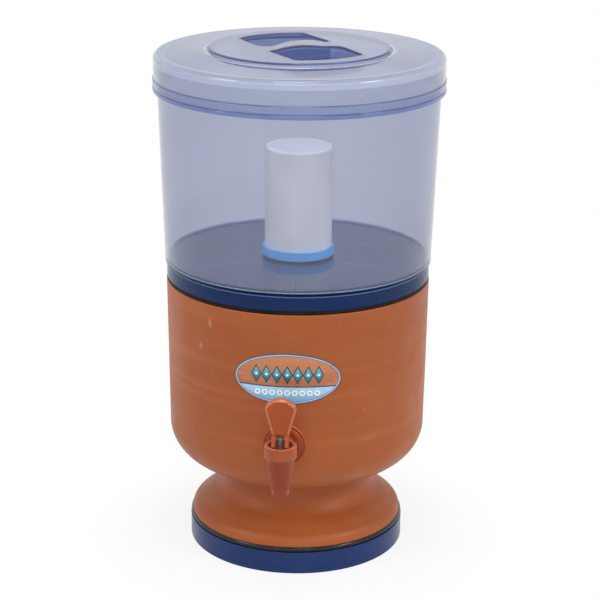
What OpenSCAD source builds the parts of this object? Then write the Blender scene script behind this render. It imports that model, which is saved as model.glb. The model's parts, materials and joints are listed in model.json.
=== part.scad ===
// Clay water pot with a filter tank on top and a lever tap at the front.
// Millimetres. +Z is up and the pot's axis is the Z axis. The base dish stands on z = 0,
// and the tap points along -Y.

/* [Base dish] */
// Outer radius of the dish
dish_r = 94; // [88:0.5:102]
// Thickness of the dish's outer wall
dish_wall = 1.5; // [1.2:0.1:2.4]
// Thickness of the dish's floor
dish_floor = 2.5; // [1.5:0.1:4]
// Height of the ring that carries the clay foot
ledge_h = 14.5; // [10:0.5:22]
// Thickness of that ring
ledge_t = 3; // [2:0.1:5]
// Height of the dish's wall above that ring
dish_lap = 4.8; // [4.2:0.1:5.2]
// Number of ribs between the ring and the wall
dish_rib_n = 12; // [6:1:18]
// Thickness of each rib
dish_rib_t = 2; // [1.2:0.1:3]

/* [Foot bead] */
// Radius of the bead's round section
bead_r = 2.4; // [2.1:0.1:2.6]
// Distance from the dish's outer face in to the middle of the bead
bead_inset = 2.7; // [2.6:0.1:3]
// Height of the middle of the bead above the dish's wall
bead_rise = 2.2; // [2:0.1:2.4]

/* [Clay reservoir] */
// Height from the sole of the foot to the rim
clay_h = 224.8; // [205:1:260]
// Thickness of the wall
clay_wall = 9.5; // [7:0.5:11]
// Outer radius where the rounded bottom meets the wall
bowl_r = 111.4; // [107:0.5:118]
// How far the wall leans out from there up to the rim
rim_flare = 1.8; // [0:0.1:5]
// Radius of the rounded bottom
bowl_fillet = 33.4; // [25:0.5:40]
// Slope of the bowl's underside, in degrees
bowl_slope = 18.1; // [12:0.5:24]
// Outer radius of the neck
neck_r = 62; // [54:0.5:68]
// Height of the neck's straight part above its narrowest place
neck_rise = 4; // [2:0.5:8]
// Radius of the small fillet between the neck and the bowl
neck_fillet = 3; // [1.5:0.5:5]
// Radius of the hollow curve between the foot and the neck
cove_r = 27.9; // [22:0.5:32]
// Slope of the foot's upper face, in degrees
shoulder_slope = 34.75; // [28:0.25:40]
// Gap between the dish's wall and the foot's outer edge
foot_gap = 0.26; // [0.2:0.02:0.6]
// Radius of the rolled edge of the foot
roll_r = 10.3; // [9:0.1:12]
// Height of the middle of the rolled edge above the sole
roll_h = 9.77; // [8.8:0.1:10]
// Width of the sole
sole_w = 9.2; // [7:0.1:14]
// Radius of the flat well in the bottom of the bowl
well_r = 40; // [30:1:48]
// Thickness of clay between the well and the hollow foot
well_t = 10; // [8:0.5:14]

/* [Rim seal] */
// Height of the seal
seal_h = 3.5; // [2:0.1:5]
// Width of the seal
seal_w = 8.6; // [6:0.1:9]
// Distance from the clay's outer face in to the seal's outer face
seal_inset = 0.7; // [0.3:0.1:1.2]

/* [Support plate] */
// Height of the plate's outer wall
plate_h = 12.2; // [8:0.2:18]
// Thickness of the plate
plate_t = 3; // [2:0.1:4.5]
// Thickness of the outer wall
plate_wall = 3; // [2:0.1:5]
// Distance from the clay's outer face in to the plate's outer face
plate_inset = 0.5; // [0.2:0.1:1.5]
// Depth of the locating skirt below the clay's rim
skirt_depth = 8; // [5:0.5:14]
// Thickness of the locating skirt
skirt_t = 2.5; // [1.8:0.1:4]
// Gap between the locating skirt and the clay
skirt_gap = 1.5; // [1:0.1:3]
// Radius of the hub under the middle of the plate
hub_r = 14; // [12:0.5:18]
// Height of the hub below the plate
hub_h = 4; // [2:0.5:7]
// Number of ribs under the plate
plate_rib_n = 8; // [4:1:12]
// Height of the ribs under the plate
plate_rib_h = 8; // [4:0.5:11]
// Thickness of the ribs under the plate
plate_rib_t = 2; // [1.2:0.1:3]
// Radius of the rounded top edge
plate_edge = 0.9; // [0.4:0.1:1.5]

/* [Water tank] */
// Height of the tank
tank_h = 175.5; // [150:0.5:210]
// Outer radius at the foot of the wall
tank_foot_r = 114.2; // [113:0.1:116]
// Outer radius at the rim
tank_rim_r = 119.9; // [117:0.1:124]
// Thickness of the wall
tank_wall = 2.6; // [2:0.1:4]
// Thickness of the floor
tank_floor = 3; // [2:0.1:4.5]
// Radius of the rounded corner between the floor and the wall
tank_corner = 4; // [3.5:0.1:8]
// Radius of the rounded outer edge of the rim
tank_rim_edge = 1.8; // [1:0.1:2]
// Number of fine ribs on the floor
floor_rib_n = 6; // [3:1:12]
// Height of the fine ribs
floor_rib_h = 0.4; // [0.2:0.1:1]
// Width of the fine ribs
floor_rib_w = 1.2; // [0.8:0.1:3]
// Turn of the fine ribs about the axis, in degrees
floor_rib_turn = 33; // [0:1:60]

/* [Lid] */
// Gap between the tank's rim and the lid's wall
lid_gap = 0.5; // [0.4:0.05:1]
// Thickness of the lid's wall
lid_wall = 1.9; // [1.5:0.1:3]
// Thickness of the lid's top
lid_top_t = 3; // [2.6:0.1:4]
// Depth of the lid's wall below the tank's rim
lid_drop = 27.9; // [20:0.1:40]
// Radius of the rounded shoulder
lid_shoulder = 8; // [6:0.1:8.4]
// Height of the band at the foot of the lid's wall
band_h = 10.6; // [6:0.1:16]
// Distance that the band stands out
band_step = 0.8; // [0.4:0.1:1.5]
// Height of the fine line round the band
band_line_h = 3.7; // [2:0.1:5]
// Rise of the top from the shoulder to the raised disc
crown_rise = 1.4; // [0.5:0.1:3]
// Radius of the raised disc
disc_r = 75.8; // [70:0.1:85]
// Height of the raised disc above the shoulder
disc_rise = 4.8; // [4:0.1:7]
// Thickness of the raised disc
disc_t = 2.4; // [1.8:0.1:3]
// Radius of the disc's rounded edge
disc_edge = 0.8; // [0.4:0.1:1.2]
// Width of the groove round the disc
groove_w = 1.9; // [1:0.1:3]
// Width of the bead round the groove
groove_bead_w = 2.2; // [1.5:0.1:3]
// Height of that bead
groove_bead_h = 0.7; // [0.4:0.1:1.5]

/* [Lid grip] */
// Radius of the circle that bounds the two finger pockets
pocket_r = 62; // [56:0.5:66]
// Depth of the finger pockets below the disc
pocket_depth = 14; // [10:0.5:20]
// Thickness of the pockets' walls
pocket_wall = 1.8; // [1.4:0.1:2.4]
// Radius of the pockets' corners
pocket_corner = 3; // [1.5:0.1:4]
// Height of the grip's crown above the disc
grip_rise = 2.8; // [1:0.1:5]
// Half the length of the grip's crown
grip_reach = 21; // [18:0.5:24]
// Turn of the grip about the axis, in degrees
grip_turn = 5.1; // [0:0.1:45]

/* [Candle] */
// Radius of the ceramic candle
candle_r = 28.75; // [24:0.25:34]
// Height of the ceramic
candle_h = 92.5; // [70:0.5:120]
// Thickness of the ceramic wall
candle_wall = 8; // [5:0.5:11]
// Radius of the ceramic's rounded top edge
candle_edge = 2.5; // [1.5:0.1:4]
// Gap round the ceramic in its cup, filled by a glue line
cup_gap = 0.2; // [0.1:0.05:0.4]
// Thickness of the cup's wall
cup_wall = 1.8; // [1.4:0.1:3]
// Height of the cup
cup_h = 8.5; // [6:0.5:14]
// Thickness of the cup's floor
cup_floor = 2.5; // [1.8:0.1:4]
// Radius of the cup's threaded stem
stem_r = 5; // [4:0.25:6]
// Radius of the water channel in the stem
channel_r = 2.4; // [1.5:0.1:2.8]
// Gap round the stem where it passes through the tank and the plate
stem_gap = 0.6; // [0.3:0.1:1]
// Thickness of the gasket under the cup
gasket_t = 1.4; // [1:0.1:3]
// Radius of the gasket
gasket_r = 16; // [12:0.5:22]
// Radius of the wing nut
nut_r = 10.5; // [8:0.25:12]
// Height of the wing nut
nut_h = 10; // [7:0.5:14]
// Span of the nut's two wings
wing_span = 34; // [28:1:44]
// Thickness of the wings
wing_t = 3; // [2:0.1:4]

/* [Float valve] */
// Radius of the valve body
valve_r = 9.5; // [8:0.25:12]
// Height of the valve body
valve_h = 23.5; // [20:0.5:30]
// Depth of the threaded socket in the valve body
socket_depth = 14.5; // [10:0.5:16]
// Gap between the wing nut and the valve body
valve_gap = 1.5; // [0.5:0.1:3]
// Radius of the nozzle's opening
nozzle_r = 1.5; // [1:0.1:2]
// Height of the nozzle below the valve body
nozzle_h = 2; // [1.5:0.1:4]
// Distance from the nozzle to the arm's pivot
pivot_back = 9; // [7:0.5:12]
// Distance from the pivot to the middle of the float ball
float_reach = 66; // [50:1:70]
// Radius of the float ball
ball_r = 22; // [16:0.5:24]
// Thickness of the ball's shell
ball_shell = 1.6; // [1.2:0.1:2.5]
// Angle by which the empty pot's float hangs down, in degrees
float_hang = 33; // [20:1:38]
// Width of the float arm
arm_w = 7; // [5:0.5:8]
// Thickness of the float arm
arm_t = 4; // [3:0.1:5]
// Radius of the eye at the arm's pivot
eye_r = 4; // [3.2:0.1:4.5]
// Radius of the float arm's pin
float_pin_r = 1.5; // [1:0.1:2]
// Thickness of each cheek of the clevis
cheek_t = 3; // [2:0.1:4]
// Gap between the arm and each cheek
cheek_gap = 0.5; // [0.3:0.1:1]
// Radius of the rubber plug on the arm
float_plug_r = 3.6; // [2.5:0.1:4.5]
// Thickness of the rubber plug on the arm
float_plug_t = 2.5; // [1.5:0.1:3.5]

/* [Tap] */
// Height of the tap's axis above the sole of the clay foot
tap_rise = 112.8; // [100:0.5:140]
// Distance from the pot's axis to the middle of the barrel
tap_reach = 146; // [142:0.5:155]
// Radius of the threaded shank
shank_r = 8; // [6.5:0.25:9]
// Radius of the water way through the shank
shank_bore_r = 3.1; // [2.5:0.1:3.2]
// Length of the shank inside the clay wall's inner face
shank_tail = 16; // [13:0.5:24]
// Gap round the shank in the clay
shank_gap = 0.7; // [0.4:0.1:1.5]
// Radius of the outer washer
outer_washer_r = 17.4; // [15:0.1:19]
// Thickness of the outer washer at its middle
outer_washer_t = 3.3; // [2.5:0.1:5]
// Radius of the tap's flange
flange_r = 15.7; // [13:0.1:17]
// Thickness of the tap's flange
flange_t = 3; // [2:0.1:4]
// Radius of the inner washer
inner_washer_r = 14; // [12:0.1:17]
// Thickness of the inner washer at its middle
inner_washer_t = 3; // [2.5:0.1:4]
// Radius across the corners of the nut
tap_nut_r = 13.5; // [12:0.5:16]
// Height of the nut
tap_nut_h = 8; // [6:0.5:10]
// Radius of the neck between the flange and the barrel
tap_neck_r = 7.5; // [6:0.1:8.5]

/* [Tap barrel] */
// Outer radius of the collar
collar_r = 13.3; // [12.6:0.1:15]
// Height of the collar
collar_h = 10.5; // [9.5:0.1:14]
// Height of the collar's lower edge above the tap's axis
collar_rise = 2.4; // [1.8:0.1:4]
// Number of grooves round the collar
collar_groove_n = 24; // [12:1:36]
// Depth of those grooves
collar_groove_d = 0.35; // [0.2:0.05:0.6]
// Radius of the collar's bore
collar_bore_r = 10.2; // [9.8:0.1:11]
// Depth of the open well above the bonnet
collar_well = 4; // [3:0.1:5]
// Outer radius of the spout at its top
spout_top_r = 11.5; // [11:0.1:12.5]
// Outer radius of the spout at its tip
spout_tip_r = 7; // [5.5:0.1:8]
// Depth of the spout's tip below the tap's axis
spout_drop = 30; // [28:0.1:40]
// Thickness of the spout's wall
spout_wall = 1.6; // [1.2:0.1:2]
// Number of fine ribs round the spout
spout_rib_n = 12; // [6:1:20]
// Height of those ribs
spout_rib_h = 0.35; // [0.2:0.05:0.6]
// Width of those ribs
spout_rib_w = 0.9; // [0.6:0.1:1.5]
// Radius of the chamber that the plug moves in
chamber_r = 7.4; // [6.8:0.1:7.8]
// Depth of the chamber's floor below the tap's axis
chamber_drop = 6.3; // [5.5:0.1:7]
// Thickness of the seat under the chamber
seat_t = 3; // [2:0.1:4]
// Radius of the seat's opening
seat_r = 3.5; // [3:0.1:4.2]
// Thickness of the gland seal
gland_t = 2; // [1.5:0.1:2.5]
// Radius of the rubber plug
plug_r = 5.6; // [5:0.1:6.4]
// Height of the rubber plug
plug_h = 4; // [3.5:0.1:4.5]
// Depth of the plug's nose in the seat
plug_nose = 2.4; // [1.5:0.1:2.8]

/* [Tap stem and lever] */
// Radius of the stem
tap_stem_r = 2.7; // [2:0.1:3]
// Height of the stem above the lever's pivot
stem_over = 6.8; // [5:0.1:7.2]
// Running gap round the stem
stem_run = 0.06; // [0.03:0.01:0.1]
// Radius of the lever's pin
lever_pin_r = 1.3; // [1:0.1:1.6]
// Running gap round the pins
pin_run = 0.05; // [0.03:0.01:0.09]
// Height of the lever's pivot above the bonnet
pivot_h = 4.2; // [3.8:0.1:5]
// Height that the stem rises when the lever is fully down
stem_lift = 3; // [2:0.1:3.4]
// Angle of the lever when it is fully down, in degrees
lever_angle = 75; // [60:1:80]
// Height of the lever's top above its pivot
lever_h = 39.5; // [34:0.1:50]
// Width of the paddle at its widest place
paddle_w = 25.2; // [20:0.1:30]
// Height of the lever's slot above its pivot
slot_h = 8; // [7.6:0.1:10]
// Width of the lever across its two arms
fork_w = 14; // [12:0.1:17]
// Width of the slot between the arms
slot_w = 7.8; // [6.6:0.1:9]
// Thickness of the lever
lever_t = 6; // [4.5:0.1:7]
// Width of the bevel round the paddle's front
paddle_bevel = 2; // [1:0.1:3]
// Radius of the paddle's lower corners
paddle_foot_corner = 1; // [0.5:0.1:2]
// Radius of the paddle's upper corners
paddle_corner = 6.5; // [4:0.1:9]
// Width of the rim round the hollow in the paddle's back
paddle_rim = 2; // [1.4:0.1:3]
// Depth of that hollow
paddle_hollow = 2.4; // [1:0.1:3]

/* [Front label] */
// Width of the label, measured round the clay
label_w = 89.5; // [60:0.5:110]
// Height of the label
label_h = 44; // [30:0.5:56]
// Thickness of the label
label_t = 0.4; // [0.2:0.1:0.8]
// Height of the label's middle above the tap's axis
label_rise = 57; // [50:0.5:80]
// Turn of the label from the tap's side about the axis, in degrees
label_turn = 1; // [0:0.5:10]

/* [Hidden] */

$fn = 96;
cut = 1;                     // how far a cutting shape runs past the face that it cuts

dish_blue = [0.16, 0.25, 0.42];
clay_red = [0.66, 0.37, 0.22];
tap_brown = [0.62, 0.33, 0.20];
seal_black = [0.12, 0.12, 0.13];
clear_blue = [0.62, 0.66, 0.82, 0.45];

// Heights of the stack, from the dish up
sole_z = ledge_h;
dish_h = ledge_h + dish_lap;
rim_z = sole_z + clay_h;
plate_z = rim_z + seal_h;
plate_top = plate_z + plate_h;
tank_top = plate_top + tank_h;
cup_z = plate_top + tank_floor + gasket_t;
candle_z = cup_z + cup_floor;
hub_z = plate_top - plate_t - hub_h;
wing_z = hub_z - nut_h;
valve_top = wing_z - valve_gap;
valve_z = valve_top - valve_h;

// The foot's rolled edge, and the sloping line that leaves it
roll_c = [dish_r - dish_wall - foot_gap - roll_r, sole_z + roll_h];
shoulder_n = [sin(shoulder_slope), cos(shoulder_slope)];
shoulder_p = roll_c + roll_r * shoulder_n;
sole_out_r = roll_c.x + sqrt(roll_r * roll_r - roll_h * roll_h);
sole_in_r = sole_out_r - sole_w;

// The hollow curve, which touches that line and the neck
cove_c = [
    neck_r + cove_r,
    shoulder_p.y + (cove_r - (neck_r + cove_r - shoulder_p.x) * shoulder_n.x) / shoulder_n.y
];

// The bowl's underside: a sloping line from the neck, then the rounded bottom
bowl_tan = tan(bowl_slope);
bowl_n = [sin(bowl_slope), -cos(bowl_slope)];
neck_top_z = cove_c.y + neck_rise;
function bowl_line(r, up = 0) = neck_top_z + (r - neck_r) * bowl_tan + up / cos(bowl_slope);
bowl_c = [bowl_r - bowl_fillet, bowl_line(bowl_r - bowl_fillet, bowl_fillet)];
well_z = bowl_line(well_r, clay_wall);
hollow_top = well_z - well_t;

// The fillet in the corner between the neck's curve and the bowl's underside
nf_q = bowl_line(cove_c.x, -neck_fillet) - cove_c.y;
nf_a = 1 + bowl_tan * bowl_tan;
nf_c = nf_q * nf_q - (cove_r - neck_fillet) * (cove_r - neck_fillet);
nf_u = (-bowl_tan * nf_q - sqrt(bowl_tan * bowl_tan * nf_q * nf_q - nf_a * nf_c)) / nf_a;
neck_fillet_c = cove_c + [nf_u, bowl_tan * nf_u + nf_q];
neck_fillet_p = cove_c + (neck_fillet_c - cove_c) * cove_r / (cove_r - neck_fillet);

bead_c = [dish_r - bead_inset, dish_h + bead_rise];
bead_fit = 0.05;             // how far the bead's two grooves stand clear of it

rim_r = bowl_r + rim_flare;
plate_r = rim_r - plate_inset;
skirt_r = rim_r - clay_wall - skirt_gap;
seal_r = rim_r - seal_inset;

tank_corner_c = [tank_foot_r - tank_corner, plate_top + tank_corner];
tank_taper = (tank_rim_r - tank_foot_r) / (tank_h - tank_corner - tank_rim_edge);

lid_z = tank_top - lid_drop;
lid_seat = 0.05;             // gap left between the tank's rim and the lid that lies on it
lid_under = tank_top + lid_seat;
lid_in_r = tank_rim_r + lid_gap;
lid_inner_corner = tank_rim_edge + 0.2;
lid_r = lid_in_r + lid_wall;
band_r = lid_r + band_step;
lid_top = lid_under + lid_top_t;
disc_top = lid_top + disc_rise;
groove_r = disc_r + groove_w;
crown_r = groove_r + groove_bead_w;
groove_floor = lid_top + crown_rise - 0.3;
grip_cyl_r = (grip_reach * grip_reach + grip_rise * grip_rise) / (2 * grip_rise);

// The near edge of a finger pocket, seen from above, and the grip between the two pockets
pocket_near = [[26, 22], [12, 17], [-11, 8], [-24, -1], [-31, -2], [-37, 4]];
pocket_far = [[-60, 52], [-60, 80], [4, 80], [3, 62]];
grip_edge = [for (i = [0 : 3]) pocket_near[i]];

cup_r = candle_r + cup_gap + cup_wall;
cup_in_r = candle_r + cup_gap;
stem_hole_r = stem_r + stem_gap;
stem_z = valve_top - socket_depth + 0.5;
thread_fit = 0.05;           // gap round a thread in its nut

// The float arm's pivot, and the plug that meets the nozzle when the arm lies level
nozzle_z = valve_z - nozzle_h;
float_close = 0.2;           // gap that is left between plug and nozzle
pivot_y = -pivot_back;
pivot_z = nozzle_z - float_close - float_plug_t - arm_t / 2;
cheek_x = arm_w / 2 + cheek_gap;
stop_r = 1.5;
stop_along = 7;
stop_below = arm_t / 2 + stop_r + 0.3;
stop_y = pivot_y + stop_along * cos(float_hang) - stop_below * sin(float_hang);
stop_z = pivot_z - stop_along * sin(float_hang) - stop_below * cos(float_hang);
stud_r = 2;
stud_l = 8;

// The tap's places, measured on the clay at the tap's height
tap_z = sole_z + tap_rise;
wall_taper = rim_flare / (rim_z - bowl_c.y);
tap_wall_r = bowl_r + (tap_z - bowl_c.y) * wall_taper;
flange_y = -(tap_wall_r + outer_washer_t);
tap_inner_r = tap_wall_r - clay_wall;
inner_washer_y = -(tap_inner_r - inner_washer_t);
shank_end_y = -(tap_inner_r - shank_tail);
collar_z = tap_z + collar_rise;
collar_top = collar_z + collar_h;
bonnet_top = collar_top - collar_well;
chamber_z = tap_z - chamber_drop;
spout_z = tap_z - spout_drop;
ledge_z = tap_z + shank_bore_r + 0.1;
bonnet_z = ledge_z + gland_t;
lever_z = bonnet_top + pivot_h;
spout_taper = (spout_top_r - spout_tip_r) / (collar_z - spout_z);
cam_rate = stem_lift / lever_angle;      // rise of the stem for each degree of the lever
cam_k = cam_rate * 180 / PI;             // the same for each radian

// ---------------------------------------------------------------- base dish

module base_dish() {
    ledge_r = (sole_in_r + sole_out_r) / 2;
    rib_l = dish_r - dish_wall / 2 - ledge_r;
    color(dish_blue)
    difference() {
        union() {
            rotate_extrude() {
                square([dish_r, dish_floor]);
                translate([dish_r - dish_wall, 0]) square([dish_wall, dish_h]);
                translate([ledge_r - ledge_t / 2, 0]) square([ledge_t, ledge_h]);
            }
            for (i = [0 : dish_rib_n - 1])
                rotate([0, 0, (i + 0.5) * 360 / dish_rib_n])
                translate([ledge_r, -dish_rib_t / 2, 0])
                cube([rib_l, dish_rib_t, ledge_h]);
        }
        bead_groove();
    }
}

module bead_groove() {
    rotate_extrude() translate(bead_c) circle(r = bead_r + bead_fit);
}

module foot_bead() {
    color(seal_black) rotate_extrude() translate(bead_c) circle(r = bead_r);
}

// ---------------------------------------------------------------- clay reservoir

// Points along an arc, from one angle to another
function arc(c, r, from, to, steps) =
    [for (i = [0 : steps]) let (a = from + (to - from) * i / steps) c + r * [cos(a), sin(a)]];

// The reservoir's outside: the sole, the rolled edge, the hollow curve up to the neck, the
// small fillet under the bowl, the rounded bottom and the wall
module clay_outline() {
    sole_a = -atan2(roll_h, sole_out_r - roll_c.x);
    neck_a = atan2(neck_fillet_p.y - cove_c.y, neck_fillet_p.x - cove_c.x);
    polygon(concat(
        [[0, sole_z]],
        arc(roll_c, roll_r, sole_a, 90 - shoulder_slope, 12),
        arc(cove_c, cove_r, 270 - shoulder_slope, neck_a, 10),
        arc(neck_fillet_c, neck_fillet, neck_a, 90 + bowl_slope, 4),
        arc(bowl_c, bowl_fillet, bowl_slope - 90, 0, 12),
        [[rim_r, rim_z], [0, rim_z]]
    ));
}

// The space inside the bowl, up to a height above the rim
module cavity_outline(top = rim_z + cut) {
    inner_fillet = bowl_fillet - clay_wall;
    polygon([
        [0, well_z], [well_r, well_z], bowl_c + inner_fillet * bowl_n, bowl_c,
        [bowl_r - clay_wall, bowl_c.y],
        [rim_r - clay_wall + (top - rim_z) * wall_taper, top], [0, top]
    ]);
    translate(bowl_c) circle(r = inner_fillet);
}

// The hollow in the underside of the foot
module foot_hollow_outline() {
    slope_p = shoulder_p - clay_wall * shoulder_n;
    slope_z = slope_p.y + (slope_p.x - sole_in_r) * tan(shoulder_slope);
    inner_cove_p = cove_c - (cove_r + clay_wall) * shoulder_n;
    difference() {
        polygon([
            [0, sole_z - cut], [sole_in_r, sole_z - cut], [sole_in_r, slope_z], inner_cove_p,
            [inner_cove_p.x, hollow_top], [0, hollow_top]
        ]);
        translate(cove_c) circle(r = cove_r + clay_wall);
    }
}

module clay_reservoir() {
    color(clay_red)
    difference() {
        rotate_extrude($fn = 180)
        difference() {
            clay_outline();
            cavity_outline();
            foot_hollow_outline();
        }
        bead_groove();
        tap_bar(shank_r + shank_gap, 0, tap_wall_r + outer_washer_t);
    }
}

module rim_seal() {
    color(seal_black)
    rotate_extrude() translate([seal_r - seal_w, rim_z]) square([seal_w, seal_h]);
}

// An oval on the clay's wall, as thick as the label
module front_label() {
    label_z = tap_z + label_rise;
    wall_r = bowl_r + (label_z - bowl_c.y) * wall_taper;
    half_angle = label_w / 2 / wall_r * 180 / PI;
    half_w = wall_r * sin(half_angle);
    low_z = label_z - label_h / 2 - cut;
    low_r = bowl_r + (low_z - bowl_c.y) * wall_taper;
    high_r = low_r + (label_h + 2 * cut) * wall_taper;
    color([0.62, 0.78, 0.88])
    rotate([0, 0, label_turn])
    intersection() {
        translate([0, 0, low_z])
        difference() {
            cylinder(r1 = low_r + label_t, r2 = high_r + label_t, h = label_h + 2 * cut);
            cylinder(r1 = low_r, r2 = high_r, h = label_h + 2 * cut);
        }
        translate([0, 0, label_z])
        rotate([90, 0, 0])
        linear_extrude(height = 2 * wall_r)
        polygon([for (a = [0 : 5 : 355]) [half_w * cos(a), label_h / 2 * sin(a)]]);
    }
}

// ---------------------------------------------------------------- support plate and tank

module support_plate() {
    color(dish_blue)
    difference() {
        union() {
            rotate_extrude($fn = 180) {
                translate([0, plate_top - plate_t]) square([plate_r - plate_edge, plate_t]);
                translate([plate_r - plate_wall, plate_z])
                square([plate_wall, plate_h - plate_edge]);
                translate([plate_r - plate_edge, plate_top - plate_edge]) circle(r = plate_edge);
                translate([skirt_r - skirt_t, rim_z - skirt_depth])
                square([skirt_t, plate_top - plate_t - rim_z + skirt_depth]);
                translate([0, hub_z]) square([hub_r, hub_h + plate_t]);
            }
            for (i = [0 : plate_rib_n - 1])
                rotate([0, 0, (i + 0.5) * 360 / plate_rib_n])
                translate([hub_r - cut, -plate_rib_t / 2, plate_top - plate_t - plate_rib_h])
                cube([skirt_r - skirt_t / 2 - hub_r + cut, plate_rib_t, plate_rib_h + plate_t / 2]);
        }
        translate([0, 0, hub_z - cut])
        cylinder(r = stem_hole_r, h = hub_h + plate_t + 2 * cut);
    }
}

// The outside of the tank's section, drawn smaller by "in" for the space inside it
module tank_outline(in, floor_up, top) {
    wall_z = tank_corner_c.y;
    wall_top = tank_top - tank_rim_edge;
    corner = max(tank_corner - in, 0.5);
    corner_c = [tank_foot_r - in - corner, plate_top + floor_up + corner];
    translate(corner_c) circle(r = corner);
    translate([0, plate_top + floor_up]) square([corner_c.x, corner + cut]);
    polygon([
        [0, corner_c.y], [tank_foot_r - in, corner_c.y], [tank_foot_r - in, wall_z],
        [tank_rim_r - in, wall_top], [tank_rim_r - in, top], [0, top]
    ]);
}

module water_tank() {
    rib_in = gasket_r + 20;
    rib_out = tank_foot_r - tank_wall - tank_corner - 8;
    color(clear_blue)
    difference() {
        union() {
            rotate_extrude($fn = 180)
            difference() {
                union() {
                    tank_outline(0, 0, tank_top - tank_rim_edge);
                    translate([tank_rim_r - tank_rim_edge, tank_top - tank_rim_edge])
                    circle(r = tank_rim_edge);
                    translate([0, tank_top - tank_rim_edge - cut])
                    square([tank_rim_r - tank_rim_edge, tank_rim_edge + cut]);
                }
                tank_outline(tank_wall, tank_floor, tank_top + cut);
            }
            for (i = [0 : floor_rib_n - 1])
                rotate([0, 0, floor_rib_turn + i * 360 / floor_rib_n])
                translate([rib_in, -floor_rib_w / 2, plate_top + tank_floor / 2])
                cube([rib_out - rib_in, floor_rib_w, tank_floor / 2 + floor_rib_h]);
        }
        translate([0, 0, plate_top - cut]) cylinder(r = stem_hole_r, h = tank_floor + 2 * cut);
    }
}

// ---------------------------------------------------------------- lid

module lid_section() {
    shoulder_c = [lid_r - lid_shoulder, lid_top - lid_shoulder];
    inner_c = [lid_in_r - lid_inner_corner, lid_under - lid_inner_corner];
    difference() {
        union() {
            translate([0, lid_z]) square([band_r, band_h]);
            translate([0, lid_z]) square([lid_r, shoulder_c.y - lid_z]);
            translate(shoulder_c) circle(r = lid_shoulder);
            translate([0, shoulder_c.y]) square([shoulder_c.x, lid_shoulder]);
            polygon([
                [0, lid_top - 1], [shoulder_c.x, lid_top - 1], [shoulder_c.x, lid_top],
                [crown_r, lid_top + crown_rise], [0, lid_top + crown_rise]
            ]);
            translate([0, lid_top]) square([crown_r, crown_rise + groove_bead_h]);
        }
        // the groove round the disc, and the fine line round the band
        translate([0, groove_floor]) square([groove_r, 2 * disc_rise]);
        translate([band_r + 0.15, lid_z + band_line_h]) circle(r = 0.5);
        // the space under the lid
        translate([0, lid_z - cut]) square([lid_in_r, inner_c.y - lid_z + cut]);
        translate(inner_c) circle(r = lid_inner_corner);
        translate([0, inner_c.y - cut]) square([inner_c.x, lid_inner_corner + cut]);
        polygon([
            [0, lid_under - 1], [crown_r + 20, lid_under - 1], [crown_r + 20, lid_under],
            [crown_r, lid_under + crown_rise], [0, lid_under + crown_rise]
        ]);
    }
}

module disc_section() {
    difference() {
        union() {
            translate([0, lid_under + crown_rise])
            square([disc_r, disc_top - disc_edge - lid_under - crown_rise]);
            translate([disc_r - disc_edge, disc_top - disc_edge]) circle(r = disc_edge);
            translate([0, lid_under + crown_rise])
            square([disc_r - disc_edge, disc_top - lid_under - crown_rise]);
        }
        square([disc_r - disc_t, disc_top - disc_t]);
    }
}

// The space of one finger pocket, seen from above, or that space with its walls
module pocket_2d(wall = 0) {
    intersection() {
        circle(r = pocket_r + wall);
        offset(r = pocket_corner + wall, $fn = 16)
        offset(delta = -pocket_corner)
        polygon(concat(pocket_near, pocket_far));
    }
}

// The grip's crown: a piece of a large cylinder between the two pockets
module grip_crown(r, top) {
    edge_back = [for (p = grip_edge) [-p.x, -p.y]];
    intersection() {
        translate([0, 0, top - r])
        rotate([90, 0, 0]) cylinder(r = r, h = 2 * disc_r, center = true, $fn = 180);
        translate([0, 0, disc_top - disc_t])
        linear_extrude(height = 3 * disc_rise) polygon(concat(grip_edge, edge_back));
    }
}

module tank_lid() {
    wall_h = pocket_depth + pocket_wall;
    color(clear_blue)
    rotate([0, 0, grip_turn])
    difference() {
        union() {
            rotate_extrude($fn = 180) {
                lid_section();
                disc_section();
            }
            for (turn = [0, 180])
                rotate([0, 0, turn])
                translate([0, 0, disc_top - wall_h])
                linear_extrude(height = wall_h - disc_t / 2) pocket_2d(pocket_wall);
            grip_crown(grip_cyl_r, disc_top + grip_rise);
        }
        for (turn = [0, 180])
            rotate([0, 0, turn])
            translate([0, 0, disc_top - pocket_depth])
            linear_extrude(height = pocket_depth + 3 * grip_rise) pocket_2d();
        difference() {
            grip_crown(grip_cyl_r - disc_t, disc_top + grip_rise - disc_t);
            for (turn = [0, 180])
                rotate([0, 0, turn])
                translate([0, 0, disc_top - wall_h])
                linear_extrude(height = wall_h + grip_rise) pocket_2d(pocket_wall);
        }
    }
}

// ---------------------------------------------------------------- candle

module candle_ceramic() {
    color([0.90, 0.89, 0.88])
    translate([0, 0, candle_z])
    rotate_extrude()
    difference() {
        union() {
            square([candle_r, candle_h - candle_edge]);
            square([candle_r - candle_edge, candle_h]);
            translate([candle_r - candle_edge, candle_h - candle_edge]) circle(r = candle_edge);
        }
        translate([0, -cut]) square([candle_r - candle_wall, candle_h - candle_wall + cut]);
    }
}

module candle_carbon() {
    carbon_gap = 0.3;
    color([0.15, 0.15, 0.16])
    translate([0, 0, candle_z + carbon_gap])
    cylinder(r = candle_r - candle_wall - carbon_gap, h = 0.8 * (candle_h - candle_wall));
}

module candle_cup() {
    color([0.37, 0.62, 0.80])
    difference() {
        union() {
            translate([0, 0, cup_z]) cylinder(r = cup_r, h = cup_h);
            translate([0, 0, stem_z]) cylinder(r = stem_r, h = cup_z - stem_z + cup_floor / 2);
        }
        translate([0, 0, candle_z]) cylinder(r = cup_in_r, h = cup_h);
        translate([0, 0, stem_z - cut]) cylinder(r = channel_r, h = candle_z - stem_z + 2 * cut);
    }
}

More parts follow.
